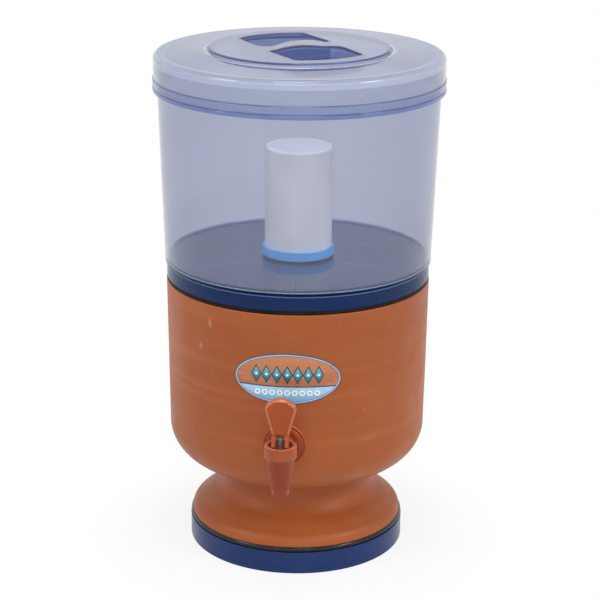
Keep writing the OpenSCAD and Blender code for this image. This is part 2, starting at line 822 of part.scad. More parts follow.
module candle_gasket() {
    color([0.85, 0.85, 0.83])
    translate([0, 0, cup_z - gasket_t])
    difference() {
        cylinder(r = gasket_r, h = gasket_t);
        translate([0, 0, -cut]) cylinder(r = stem_r + thread_fit, h = gasket_t + 2 * cut);
    }
}

module wing_nut() {
    color([0.88, 0.88, 0.86])
    translate([0, 0, wing_z])
    difference() {
        union() {
            cylinder(r = nut_r, h = nut_h);
            translate([-wing_span / 2, -wing_t / 2, 0]) cube([wing_span, wing_t, nut_h * 0.8]);
        }
        translate([0, 0, -cut]) cylinder(r = stem_r + thread_fit, h = nut_h + 2 * cut);
    }
}

// ---------------------------------------------------------------- float valve

module valve_body() {
    cheek_h = valve_z - stop_z + 2 * stop_r;
    cheek_l = stop_y - pivot_y + eye_r + 2 * stop_r;
    nozzle_out_r = nozzle_r + 1.6;
    color([0.90, 0.90, 0.88])
    difference() {
        union() {
            translate([0, 0, valve_z]) cylinder(r = valve_r, h = valve_h);
            translate([0, 0, nozzle_z])
            cylinder(r1 = nozzle_out_r, r2 = nozzle_out_r + 1, h = nozzle_h + cut);
            for (side = [-1, 1])
                translate([side * (cheek_x + cheek_t / 2), 0, 0])
                translate([-cheek_t / 2, pivot_y - eye_r, valve_z - cheek_h])
                cube([cheek_t, cheek_l, cheek_h + cut]);
            translate([-cheek_x - cut, stop_y, stop_z])
            rotate([0, 90, 0]) cylinder(r = stop_r, h = 2 * cheek_x + 2 * cut);
        }
        translate([0, 0, valve_top - socket_depth])
        cylinder(r = stem_r + thread_fit, h = socket_depth + cut);
        translate([0, 0, nozzle_z - cut])
        cylinder(r = nozzle_r, h = valve_top - socket_depth - nozzle_z + 2 * cut);
        translate([-cheek_x - cheek_t - cut, pivot_y, pivot_z])
        rotate([0, 90, 0]) cylinder(r = float_pin_r, h = 2 * (cheek_x + cheek_t + cut));
    }
}

module float_pin() {
    color([0.70, 0.71, 0.72])
    translate([-cheek_x - cheek_t, pivot_y, pivot_z])
    rotate([0, 90, 0]) cylinder(r = float_pin_r, h = 2 * (cheek_x + cheek_t));
}

// Puts a piece of the float, drawn level from its pivot along +Y, where it hangs
module hang() {
    translate([0, pivot_y, pivot_z]) rotate([-float_hang, 0, 0]) children();
}

module float_arm() {
    bar_l = float_reach - ball_r;
    color([0.90, 0.90, 0.88])
    hang()
    difference() {
        union() {
            translate([-arm_w / 2, 0, -arm_t / 2]) cube([arm_w, bar_l, arm_t]);
            translate([-arm_w / 2, 0, 0]) rotate([0, 90, 0]) cylinder(r = eye_r, h = arm_w);
            translate([0, bar_l - cut, 0]) rotate([-90, 0, 0]) cylinder(r = stud_r, h = stud_l + cut);
        }
        translate([-arm_w / 2 - cut, 0, 0])
        rotate([0, 90, 0]) cylinder(r = float_pin_r + pin_run, h = arm_w + 2 * cut);
    }
}

module float_ball() {
    color([0.80, 0.36, 0.20])
    hang()
    translate([0, float_reach, 0])
    difference() {
        union() {
            difference() {
                sphere(r = ball_r);
                sphere(r = ball_r - ball_shell);
            }
            intersection() {
                rotate([90, 0, 0]) cylinder(r = 2 * stud_r, h = ball_r);
                difference() {
                    sphere(r = ball_r - ball_shell / 2);
                    rotate([90, 0, 0]) cylinder(r = ball_r, h = ball_r - stud_l - 2 * cut);
                }
            }
        }
        translate([0, -(ball_r - stud_l), 0])
        rotate([90, 0, 0]) cylinder(r = stud_r + thread_fit, h = ball_r);
        translate([-ball_r, -2 * ball_r - sqrt(ball_r * ball_r - arm_w * arm_w / 2), -ball_r])
        cube(2 * ball_r);
    }
}

module float_plug() {
    color(seal_black)
    hang()
    translate([0, pivot_back, arm_t / 2]) cylinder(r = float_plug_r, h = float_plug_t);
}

// ---------------------------------------------------------------- tap

// A round bar along the tap's axis, between two distances in front of the pot's axis
module tap_bar(r, near, far) {
    translate([0, -near, tap_z]) rotate([90, 0, 0]) cylinder(r = r, h = far - near);
}

module at_barrel(z = 0) {
    translate([0, -tap_reach, z]) children();
}

// The outside of the barrel's section: the collar, and the spout under it
module barrel_section() {
    chamfer = 0.6;
    tip = 1.5;
    polygon([
        [0, spout_z], [spout_tip_r - tip, spout_z], [spout_tip_r - 0.3 * tip, spout_z + 0.3 * tip],
        [spout_tip_r + tip * spout_taper, spout_z + tip], [spout_top_r, collar_z],
        [collar_r - chamfer, collar_z], [collar_r, collar_z + chamfer],
        [collar_r, collar_top - chamfer], [collar_r - chamfer, collar_top], [0, collar_top]
    ]);
}

// The spaces inside the barrel, from the open well down to the spout's tip
module barrel_bore_section() {
    throat_z = chamber_z - seat_t;
    throat_r = spout_tip_r + (throat_z - spout_z) * spout_taper - spout_wall;
    translate([0, ledge_z]) square([collar_bore_r, collar_top - ledge_z + cut]);
    translate([0, chamber_z]) square([chamber_r, ledge_z - chamber_z + cut]);
    translate([0, throat_z - cut]) square([seat_r, seat_t + 2 * cut]);
    polygon([
        [0, spout_z - cut], [spout_tip_r - spout_wall - cut * spout_taper, spout_z - cut],
        [throat_r, throat_z], [0, throat_z]
    ]);
}

module spout_ribs() {
    rib_z = spout_z + 4;
    rib_h = collar_z - rib_z;
    intersection() {
        for (i = [0 : spout_rib_n - 1])
            rotate([0, 0, (i + 0.5) * 360 / spout_rib_n])
            translate([0, -spout_rib_w / 2, rib_z])
            cube([2 * spout_top_r, spout_rib_w, rib_h + cut]);
        translate([0, 0, rib_z])
        cylinder(
            r1 = spout_tip_r + 4 * spout_taper + spout_rib_h,
            r2 = spout_top_r + cut * spout_taper + spout_rib_h, h = rib_h + cut
        );
    }
}

module tap_body() {
    groove_r = 0.9;
    color(tap_brown)
    difference() {
        union() {
            at_barrel() rotate_extrude() barrel_section();
            at_barrel() spout_ribs();
            tap_bar(flange_r, -flange_y, -flange_y + flange_t);
            tap_bar(shank_r, -shank_end_y, -flange_y + cut);
            tap_bar(tap_neck_r, -flange_y, tap_reach - chamber_r);
        }
        at_barrel() rotate_extrude() barrel_bore_section();
        tap_bar(shank_bore_r, -shank_end_y - cut, tap_reach);
        at_barrel()
        for (i = [0 : collar_groove_n - 1])
            rotate([0, 0, (i + 0.5) * 360 / collar_groove_n])
            translate([collar_r + groove_r - collar_groove_d, 0, collar_z + 1])
            cylinder(r = groove_r, h = collar_h, $fn = 24);
    }
}

module outer_washer() {
    color(tap_brown)
    difference() {
        tap_bar(outer_washer_r, tap_wall_r - 10, -flange_y);
        tap_bar(shank_r + thread_fit, tap_wall_r - 11, -flange_y + cut);
        rotate_extrude($fn = 180) clay_outline();
    }
}

module inner_washer() {
    color(seal_black)
    intersection() {
        difference() {
            tap_bar(inner_washer_r, -inner_washer_y, tap_inner_r + 10);
            tap_bar(shank_r + thread_fit, -inner_washer_y - cut, tap_inner_r + 11);
        }
        rotate_extrude($fn = 180) cavity_outline();
    }
}

module tap_nut() {
    color([0.86, 0.86, 0.84])
    difference() {
        translate([0, inner_washer_y + tap_nut_h, tap_z])
        rotate([90, 0, 0]) rotate([0, 0, 30]) cylinder(r = tap_nut_r, h = tap_nut_h, $fn = 6);
        tap_bar(shank_r + thread_fit, -inner_washer_y - tap_nut_h - cut, -inner_washer_y + cut);
    }
}

module tap_bonnet() {
    color(tap_brown)
    at_barrel(bonnet_z)
    difference() {
        cylinder(r = collar_bore_r - thread_fit, h = bonnet_top - bonnet_z);
        translate([0, 0, -cut]) cylinder(r = tap_stem_r + stem_run, h = bonnet_top - bonnet_z + 2 * cut);
    }
}

module gland_seal() {
    color(seal_black)
    at_barrel(ledge_z)
    difference() {
        cylinder(r = collar_bore_r - thread_fit, h = gland_t);
        translate([0, 0, -cut]) cylinder(r = tap_stem_r + stem_run, h = gland_t + 2 * cut);
    }
}

// ---------------------------------------------------------------- stem and lever

module tap_stem() {
    foot_z = chamber_z + plug_h / 2;
    top_z = lever_z + stem_over;
    color([0.45, 0.44, 0.43])
    at_barrel()
    difference() {
        union() {
            translate([0, 0, foot_z]) cylinder(r = tap_stem_r, h = top_z - foot_z - tap_stem_r / 2);
            intersection() {
                translate([0, 0, top_z - tap_stem_r * 1.25]) sphere(r = tap_stem_r * 1.25);
                translate([0, 0, foot_z]) cylinder(r = tap_stem_r, h = top_z - foot_z);
            }
        }
        translate([-fork_w, 0, lever_z])
        rotate([0, 90, 0]) cylinder(r = lever_pin_r, h = 2 * fork_w);
    }
}

module stem_plug() {
    color(seal_black)
    at_barrel(chamber_z)
    difference() {
        union() {
            cylinder(r = plug_r, h = plug_h);
            translate([0, 0, -plug_nose])
            cylinder(r1 = 0.5 * seat_r, r2 = 0.85 * seat_r, h = plug_nose + cut);
        }
        translate([0, 0, plug_h / 2]) cylinder(r = tap_stem_r, h = plug_h);
    }
}

module lever_pin() {
    color([0.60, 0.60, 0.60])
    at_barrel(lever_z)
    translate([-fork_w / 2, 0, 0]) rotate([0, 90, 0]) cylinder(r = lever_pin_r, h = fork_w);
}

// The heel of an arm. Its distance from the pivot grows evenly with the angle, so that the
// lever lifts the stem at a steady rate as it rolls over the bonnet.
function heel(a) =
    (pivot_h + cam_rate * a) * [-sin(a), -cos(a)] + cam_k * [-cos(a), sin(a)];

// One arm of the fork seen from the side: x is along the pot's Y, y is up
module arm_2d() {
    back = lever_t / 2;
    heel_top = heel(lever_angle);
    difference() {
        polygon(concat(
            [for (i = [0 : 15]) heel(i * lever_angle / 15)],
            [
                heel_top + [0.3, 1.2], [-back, stem_over - 1], [-back, slot_h + cut],
                [back, slot_h + cut], [back, -pivot_h / 2], [back - 1, -pivot_h]
            ]
        ));
        circle(r = lever_pin_r + pin_run, $fn = 48);
    }
}

// The paddle seen from the front, drawn smaller by "in"
module paddle_2d(in) {
    corner = paddle_corner - in;
    foot = paddle_foot_corner;
    hull() {
        for (side = [-1, 1]) {
            translate([side * (paddle_w / 2 - paddle_corner), lever_h - paddle_corner - 2.5])
            circle(r = corner, $fn = 40);
            translate([side * (fork_w / 2 - foot - 0.7 * in), slot_h + foot + in])
            circle(r = foot, $fn = 24);
        }
        translate([0, lever_h - paddle_w * 0.8])
        intersection() {
            circle(r = paddle_w * 0.8 - in, $fn = 96);
            translate([-paddle_w / 4, 0]) square([paddle_w / 2, paddle_w]);
        }
    }
}

module tap_lever() {
    color([0.64, 0.30, 0.17])
    at_barrel(lever_z) {
        for (side = [-1, 1])
            translate([side * (slot_w + fork_w) / 4 - (fork_w - slot_w) / 4, 0, 0])
            rotate([90, 0, 90]) linear_extrude(height = (fork_w - slot_w) / 2) arm_2d();
        difference() {
            hull() {
                rotate([90, 0, 0])
                translate([0, 0, -lever_t / 2]) linear_extrude(height = lever_t * 0.6) paddle_2d(0);
                rotate([90, 0, 0])
                translate([0, 0, lever_t / 2 - 0.1]) linear_extrude(height = 0.1) paddle_2d(paddle_bevel);
            }
            rotate([90, 0, 0])
            translate([0, 0, -lever_t / 2 - cut])
            linear_extrude(height = paddle_hollow + cut) paddle_2d(paddle_rim);
        }
    }
}

base_dish();
foot_bead();
clay_reservoir();
rim_seal();
front_label();
support_plate();
water_tank();
tank_lid();
candle_ceramic();
candle_carbon();
candle_cup();
candle_gasket();
wing_nut();
valve_body();
float_pin();
float_arm();
float_ball();
float_plug();
tap_body();
outer_washer();
inner_washer();
tap_nut();
tap_bonnet();
gland_seal();
tap_stem();
stem_plug();
lever_pin();
tap_lever();
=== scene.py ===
"""Clay water pot with a clear filter tank: visible pieces and their materials around the CAD model."""
import json
import math
import bpy
import bmesh
from mathutils import Matrix, Vector, noise
from mathutils.geometry import delaunay_2d_cdt


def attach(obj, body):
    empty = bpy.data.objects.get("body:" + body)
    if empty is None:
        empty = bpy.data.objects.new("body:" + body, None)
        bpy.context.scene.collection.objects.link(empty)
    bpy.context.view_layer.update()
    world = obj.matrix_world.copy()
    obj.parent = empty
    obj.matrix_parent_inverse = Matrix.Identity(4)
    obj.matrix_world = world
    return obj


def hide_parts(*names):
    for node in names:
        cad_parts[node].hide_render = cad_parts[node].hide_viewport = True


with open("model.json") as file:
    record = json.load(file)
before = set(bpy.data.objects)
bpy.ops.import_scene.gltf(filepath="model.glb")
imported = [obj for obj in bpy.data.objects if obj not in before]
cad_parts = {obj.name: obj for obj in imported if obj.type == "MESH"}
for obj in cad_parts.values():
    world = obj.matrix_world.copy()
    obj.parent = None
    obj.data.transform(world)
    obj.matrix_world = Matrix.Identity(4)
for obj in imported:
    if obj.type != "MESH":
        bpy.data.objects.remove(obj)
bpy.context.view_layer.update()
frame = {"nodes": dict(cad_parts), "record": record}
MM = 0.001                      # the pieces' sizes are in millimetres, the scene is in metres
FULL = 2 * math.pi
TURN = math.radians(5.1)        # the camera and the lid's grip stand at this turn about the axis
WHITE = (1, 1, 1, 1)
SCENE = bpy.context.scene

# ------------------------------------------------------------------ sizes that several pieces share

FOOT_IN, FOOT_Z = 76.0, 14.5            # inner radius of the clay foot, and the dish's shelf under it
BOWL_R, WALL_Z = 111.4, 109.6           # where the rounded bottom meets the wall
WALL_LEAN = 0.01388                     # growth of the radius per millimetre of height above that
RIM_R, RIM_Z = 113.2, 239.3
LABEL_Z, LABEL_HALF_H = 184.3, 22.0
LABEL_HALF_W, LABEL_HALF_ARC = 43.57, 44.75     # straight across, and along the wall
LABEL_R = 112.44                        # radius of the wall at its middle
TANK_Z, TANK_FLOOR, TANK_TOP = 255.2, 258.0, 430.5
LID_UNDER, LID_TOP, DISC_TOP = 430.55, 433.55, 438.35
TAP_Y, TAP_Z = -146.0, 127.3            # axis of the spout, and height of the shank


# ------------------------------------------------------------------ mesh helpers

def rounded(points, closed=True, step=11.0):
    """A line of (x, y) or (x, y, corner radius) points, with its corners rounded."""
    out = []
    n = len(points)
    for i, p in enumerate(points):
        here = Vector(p[:2])
        r = p[2] if len(p) > 2 else 0
        if r <= 0 or (not closed and i in (0, n - 1)):
            out.append(tuple(here))
            continue
        a = Vector(points[i - 1][:2]) - here
        b = Vector(points[(i + 1) % n][:2]) - here
        half = a.angle(b) / 2
        t = min(r / math.tan(half), 0.49 * a.length, 0.49 * b.length)
        r = t * math.tan(half)
        centre = here + (a.normalized() + b.normalized()).normalized() * r / math.sin(half)
        s = here + a.normalized() * t - centre
        e = here + b.normalized() * t - centre
        sweep = math.atan2(s.x * e.y - s.y * e.x, s.dot(e))
        k = max(2, math.ceil(abs(math.degrees(sweep)) / step))
        for j in range(k + 1):
            w = sweep * j / k
            out.append((centre.x + s.x * math.cos(w) - s.y * math.sin(w),
                        centre.y + s.x * math.sin(w) + s.y * math.cos(w)))
    return out


def arc(c, r, start, end, steps):
    """Points along an arc, angles in degrees."""
    turn = [math.radians(start + (end - start) * i / steps) for i in range(steps + 1)]
    return [(c[0] + r * math.cos(a), c[1] + r * math.sin(a)) for a in turn]


def circle(r, n):
    """n points round a circle about the origin."""
    return [(r * math.cos(FULL * i / n), r * math.sin(FULL * i / n)) for i in range(n)]


def dense(points, longest):
    """The closed line with its long stretches cut into shorter ones."""
    out = []
    for i, p in enumerate(points):
        q = points[(i + 1) % len(points)]
        k = max(1, math.ceil(math.dist(p, q) / longest))
        out += [(p[0] + (q[0] - p[0]) * j / k, p[1] + (q[1] - p[1]) * j / k) for j in range(k)]
    return out


def inward(loop, d):
    """The closed loop moved inwards by d (outwards where d is negative)."""
    n = len(loop)
    area = sum(loop[i - 1][0] * loop[i][1] - loop[i][0] * loop[i - 1][1] for i in range(n))
    way = 1 if area > 0 else -1
    out = []
    for i, (x, y) in enumerate(loop):
        t = (Vector(loop[(i + 1) % n]) - Vector(loop[i - 1])).normalized() * way
        out.append((x - t.y * d, y + t.x * d))
    return out


def thread(start, pitch, turns, tooth):
    """Rings along a profile in place of a thread. tooth is a list of (radius, offset along it)."""
    return [(r, start + pitch * i + off) for i in range(turns) for r, off in tooth]


class Build:
    """Collects vertices and faces in millimetres for one piece."""

    def __init__(self):
        self.verts = []
        self.faces = []

    def loft(self, loops, cap_start=False, cap_end=False):
        """Joins loops of equal length with quads. A loop of one point becomes a tip."""
        rows = []
        for loop in loops:
            rows.append(range(len(self.verts), len(self.verts) + len(loop)))
            self.verts += [tuple(p) for p in loop]
        for a, b in zip(rows, rows[1:]):
            n = max(len(a), len(b))
            for i in range(n):
                j = (i + 1) % n
                if len(a) == 1:
                    self.faces.append((a[0], b[j], b[i]))
                elif len(b) == 1:
                    self.faces.append((a[i], a[j], b[0]))
                else:
                    self.faces.append((a[i], a[j], b[j], b[i]))
        if cap_start:
            self.faces.append(tuple(reversed(rows[0])))
        if cap_end:
            self.faces.append(tuple(rows[-1]))
        return self

    def lathe(self, profile, n=192, closed=True, place=None, bend=None):
        """Turns a profile of (radius, height) about Z. bend changes (r, z) by angle, place moves it all."""
        loops = []
        for r, z in profile:
            if r < 1e-6:
                loops.append([(0, 0, z)])
                continue
            loop = []
            for i in range(n):
                w = FULL * i / n
                rr, zz = bend(r, z, w) if bend else (r, z)
                loop.append((rr * math.cos(w), rr * math.sin(w), zz))
            loops.append(loop)
        if closed:
            loops.append(loops[0])
        k = len(self.verts)
        self.loft(loops)
        if place:
            self.verts[k:] = [tuple(place @ Vector(v)) for v in self.verts[k:]]
        return self

    def done(self, name, body, material, replaces=(), slot=None, sharp=38, weld=1e-4):
        """Makes the piece: a mesh on its body, in place of the CAD nodes it replaces."""
        mesh = bpy.data.meshes.new(name)
        b = bmesh.new()
        made = [b.verts.new((x * MM, y * MM, z * MM)) for x, y, z in self.verts]
        for f in self.faces:
            if len(set(f)) > 2:
                try:
                    b.faces.new([made[i] for i in f])
                except ValueError:
                    pass
        bmesh.ops.remove_doubles(b, verts=b.verts[:], dist=weld * MM)
        bmesh.ops.dissolve_degenerate(b, edges=b.edges[:], dist=weld * MM)
        bmesh.ops.recalc_face_normals(b, faces=b.faces[:])
        b.to_mesh(mesh)
        b.free()
        for p in mesh.polygons:
            p.use_smooth = True
        mesh.set_sharp_from_angle(angle=math.radians(sharp))
        o = bpy.data.objects.new(name, mesh)
        SCENE.collection.objects.link(o)
        mesh.materials.append(material)
        o.modifiers.new("normals", "WEIGHTED_NORMAL").keep_sharp = True
        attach(o, body)
        if replaces:
            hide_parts(*replaces)
        return o


def bar(b, angle, r0, r1, z0, z1, width, top):
    """A low rib along a radius, with long edges rounded by top."""
    w = width / 2
    section = rounded([(-w, z0), (w, z0), (w, z1, top), (-w, z1, top)], step=30)
    out = Vector((math.cos(angle), math.sin(angle), 0))
    side = Vector((-math.sin(angle), math.cos(angle), 0))
    loops = []
    for k, s in ((0, 0.6), (0.01, 1), (0.25, 1), (0.5, 1), (0.75, 1), (0.99, 1), (1, 0.6)):  # (place, size)
        foot = out * (r0 + (r1 - r0) * k)
        loops.append([foot + side * x * s + Vector((0, 0, z0 + (z - z0) * s)) for x, z in section])
    b.loft(loops, True, True)


# ------------------------------------------------------------------ material helpers

def rgb(r, g, b):
    """A colour from 0..255 as the screen shows it, as a linear one."""
    def lin(c):
        c /= 255
        return c / 12.92 if c <= 0.04045 else ((c + 0.055) / 1.055) ** 2.4
    return (lin(r), lin(g), lin(b), 1)


def shade(colour, k, add=0.0):
    """The colour times k, plus a little grey."""
    return tuple(c * k + add for c in colour[:3]) + (1,)


class Nodes:
    """An emptied node tree: each method adds a node and gives it or its output."""

    def __init__(self, tree):
        self.t = tree
        self.t.nodes.clear()

    def node(self, kind, props=None, **inputs):
        """A shader node. Inputs go by name (_ for a space) or by number (i0, i1 and so on)."""
        n = self.t.nodes.new("ShaderNode" + kind)
        for k, v in (props or {}).items():
            setattr(n, k, v)
        for k, v in inputs.items():
            key = int(k[1:]) if k[0] == "i" and k[1:].isdigit() else k.replace("_", " ")
            if isinstance(v, bpy.types.NodeSocket):
                self.t.links.new(v, n.inputs[key])
            else:
                n.inputs[key].default_value = v
        return n

    def math(self, op, a, b=0.0, c=0.0):
        return self.node("Math", {"operation": op}, i0=a, i1=b, i2=c).outputs[0]

    def seen(self):
        """1 where the camera looks, straight on, in a mirror or through glass, and 0 for light on things."""
        path = self.node("LightPath").outputs
        straight = self.math("MAXIMUM", path["Is Camera Ray"], path["Is Glossy Ray"])
        return self.math("MAXIMUM", straight, path["Is Transmission Ray"])


class Mat(Nodes):
    """A material, with textures placed by the object's own coordinates."""

    def __init__(self, name):
        self.m = bpy.data.materials.new(name)
        self.m.use_nodes = True
        super().__init__(self.m.node_tree)
        self.p = self.node("TexCoord").outputs["Object"]

    def stretch(self, x, y, z):
        return self.node("Mapping", Vector=self.p, Scale=(x, y, z)).outputs[0]

    def noise(self, scale, detail=2.0, rough=0.5, vector=None):
        return self.node("TexNoise", Vector=vector or self.p, Scale=scale, Detail=detail,
                         Roughness=rough).outputs[0]

    def cells(self, scale):
        return self.node("TexVoronoi", Vector=self.p, Scale=scale).outputs[0]

    def height(self):
        """Height above the floor in millimetres."""
        return self.math("MULTIPLY", self.node("SeparateXYZ", Vector=self.p).outputs[2], 1000)

    def length(self, vector):
        return self.node("VectorMath", {"operation": "LENGTH"}, i0=vector).outputs["Value"]

    def fit(self, value, low, high, to_low=0.0, to_high=1.0):
        """value from low..high to to_low..to_high, with soft ends."""
        return self.node("MapRange", {"interpolation_type": "SMOOTHSTEP"}, Value=value, From_Min=low,
                         From_Max=high, To_Min=to_low, To_Max=to_high).outputs[0]

    def mix(self, fac, a, b):
        return self.node("Mix", {"data_type": "RGBA"}, i0=fac, i6=a, i7=b).outputs[2]

    def some(self, fac, share, a, b):
        """a with b laid over it, by fac times share."""
        return self.mix(self.math("MULTIPLY", fac, share), a, b)

    def bump(self, height, depth, normal=None):
        """Bump of a height from 0 to 1, depth in millimetres."""
        more = {"Normal": normal} if normal else {}
        return self.node("Bump", Height=height, Strength=1.0, Distance=depth * MM, **more).outputs[0]

    def near(self, point, size):
        """0 at a point (mm), 1 at the distance size (mm) in each direction, and more outside."""
        middle = [c * MM for c in point]
        v = self.node("VectorMath", {"operation": "SUBTRACT"}, i0=self.p, i1=middle).outputs[0]
        return self.length(self.node("Mapping", Vector=v, Scale=[1 / (s * MM) for s in size]).outputs[0])

    def ring(self, height, width, inner_r):
        """1 in a level zone round the pot's axis, outside a radius (mm), and 0 elsewhere."""
        soft = 0.15
        off = self.math("ABSOLUTE", self.math("SUBTRACT", self.height(), height))
        flat = self.math("MULTIPLY", self.length(self.stretch(1, 1, 0)), 1000)
        out = self.fit(flat, inner_r, inner_r + 2 * soft)
        return self.math("MULTIPLY", self.fit(off, width / 2 - soft, width / 2 + soft, 1, 0), out)

    def end(self, surface):
        out = self.node("OutputMaterial")
        self.t.links.new(surface, out.inputs["Surface"])
        return self.m

    def solid(self, **inputs):
        return self.end(self.node("BsdfPrincipled", **inputs).outputs[0])


def moulded(name, colour, rough=0.3, other=None, wear=0.0, spec=0.32, sheen=0.0,
            mottle=None, edge=None, line=None):
    """Moulded plastic: a slow change of tone, the faint ripple of the mould, fine rubbing marks and dust.
    mottle is (centre, size, colour), line is (height, width, inner radius, colour) of a painted highlight,
    both in mm, and edge is (low, high, strength, colour, lowest height) of painted sheen where the face
    turns sideways, low and high as parts of the normal's y."""
    m = Mat(name)
    tone = m.mix(m.fit(m.noise(22, 3), 0.30, 0.70), other or shade(colour, 0.80), colour)
    rub = m.fit(m.noise(260, 5, 0.7, m.stretch(1, 1, 0.25)), 0.56, 0.72)
    dust = m.fit(m.noise(1500, 2), 0.66, 0.78)
    tone = m.some(rub, 0.04 + wear, tone, shade(colour, 1.4, 0.01))
    tone = m.some(dust, 0.05, tone, (0.6, 0.58, 0.55, 1))
    slow = m.fit(m.noise(60, 3), 0.2, 0.8, rough - 0.04, rough + 0.05)
    r = m.math("ADD", m.math("MULTIPLY", rub, 0.12), slow)
    h = m.bump(m.noise(420, 2), 0.012)
    h = m.bump(m.noise(2600, 2), 0.004, h)
    if mottle:                              # a paler, speckled zone inside an ellipsoid
        centre, size, pale = mottle
        zone = m.fit(m.near(centre, size), 0.97, 1.0, 1, 0)
        spots = m.fit(m.noise(1100, 3, 0.6), 0.40, 0.64, 0.35, 0.85)
        tone = m.mix(m.math("MULTIPLY", zone, spots), tone, pale)
        h = m.bump(m.noise(900, 3), 0.04, h)
    if line:                                # painted highlight: a paler line where light would catch a rounded edge
        *where, pale = line
        tone = m.some(m.ring(*where), 0.8, tone, pale)
    if edge:                                # painted sheen: paler where the face turns sideways, on bevels and sides
        low, high, strength, pale, lowest = edge
        ny = m.node("SeparateXYZ", Vector=m.node("TexCoord").outputs["Normal"]).outputs[1]
        side = m.fit(m.math("ABSOLUTE", ny), low, high, 1, 0)
        side = m.math("MULTIPLY", side, m.fit(m.height(), lowest - 0.5, lowest + 0.5))
        tone = m.some(side, strength, tone, pale)
    return m.solid(Base_Color=tone, Roughness=r, Normal=h, Specular_IOR_Level=spec, Sheen_Weight=sheen,
                   Sheen_Roughness=0.3, Sheen_Tint=rgb(255, 200, 165))


def rubber(name, colour, rough, spec=0.5):
    """Rubber with a slow change of tone and a pale bloom in specks."""
    m = Mat(name)
    tone = m.mix(m.fit(m.noise(90, 4), 0.35, 0.75), colour, shade(colour, 1.7, 0.006))
    bloom = m.fit(m.noise(700, 3, 0.6), 0.60, 0.75)
    tone = m.some(bloom, 0.05, tone, (0.30, 0.29, 0.28, 1))
    r = m.fit(m.noise(150, 3), 0.2, 0.8, rough - 0.06, rough + 0.08)
    h = m.bump(m.noise(900, 3), 0.02)
    return m.solid(Base_Color=tone, Roughness=r, Normal=h, Specular_IOR_Level=spec)


def zone(height, width, inner_r, tint, shine=(1, 1, 1), haze=0.0):
    """A level zone of clear plastic: where it is (mm), its tint, its shine's tint, and its added haze. Many
    zones paint light and shade this way: a deeper tint for painted shade, a paler tint or more haze for a
    painted highlight, a coloured shine for a painted reflection.
    """
    return height, width, inner_r, (*tint, 1), (*shine, 1), haze


def clear(name, tint, haze, density, rough=0.03, zones=()):
    """Clear moulded plastic, a little hazy, tinted through its thickness, with zones that paint light and
    shade. Shadow rays pass through it.
    """
    m = Mat(name)
    tone = m.mix(m.fit(m.noise(9, 2), 0.3, 0.7), (*tint, 1), shade(tint, 0.98))
    shine = WHITE
    milk = haze
    # painted light and shade: each zone lays its tint, its shine's tint and more haze over its band of the
    # plastic
    for *where, deep, gloss, more in zones:
        here = m.ring(*where)
        tone = m.mix(here, tone, deep)
        if gloss != WHITE:
            shine = m.mix(here, shine, gloss)
        if more:
            milk = m.math("MULTIPLY_ADD", here, more, milk)
    smear = m.fit(m.noise(38, 4, 0.6, m.stretch(1, 1, 0.35)), 0.50, 0.75)
    scratch = m.fit(m.noise(900, 2, 0.5, m.stretch(1, 1, 0.06)), 0.70, 0.78)
    r = m.math("ADD", m.fit(smear, 0, 1, rough, rough + 0.05), m.math("MULTIPLY", scratch, 0.12))
    h = m.bump(m.noise(28, 2, 0.4, m.stretch(1, 1, 0.4)), 0.012)
    h = m.bump(m.noise(1800, 2), 0.002, h)
    glass = m.node("BsdfPrincipled", Base_Color=tone, Roughness=r, Normal=h, IOR=1.47,
                   Transmission_Weight=m.math("SUBTRACT", 1.0, milk), Specular_Tint=shine)
    veil = m.node("BsdfTransparent", Color=(0.98, 0.98, 0.985, 1))
    ray = m.node("LightPath").outputs["Is Shadow Ray"]
    both = m.node("MixShader", i0=ray, i1=glass.outputs[0], i2=veil.outputs[0])
    inner = m.node("VolumeAbsorption", Color=(0.23, 0.29, 0.52, 1), Density=density)
    out = m.end(both.outputs[0])
    m.t.links.new(inner.outputs[0], m.t.nodes["Material Output"].inputs["Volume"])
    return out


# ------------------------------------------------------------------ clay, ceramic, carbon and steel

KNOCKS = (                      # scuffs on the clay: (angle from the front, height, size across, size up)
    (-0.603, 224, 3.2, 6.0), (-0.702, 201, 2.2, 4.2),
    (0.62, 152, 1.6, 3.0), (-0.25, 122, 1.4, 2.2), (2.3, 190, 2.4, 5.0), (-2.5, 140, 2.0, 4.4))


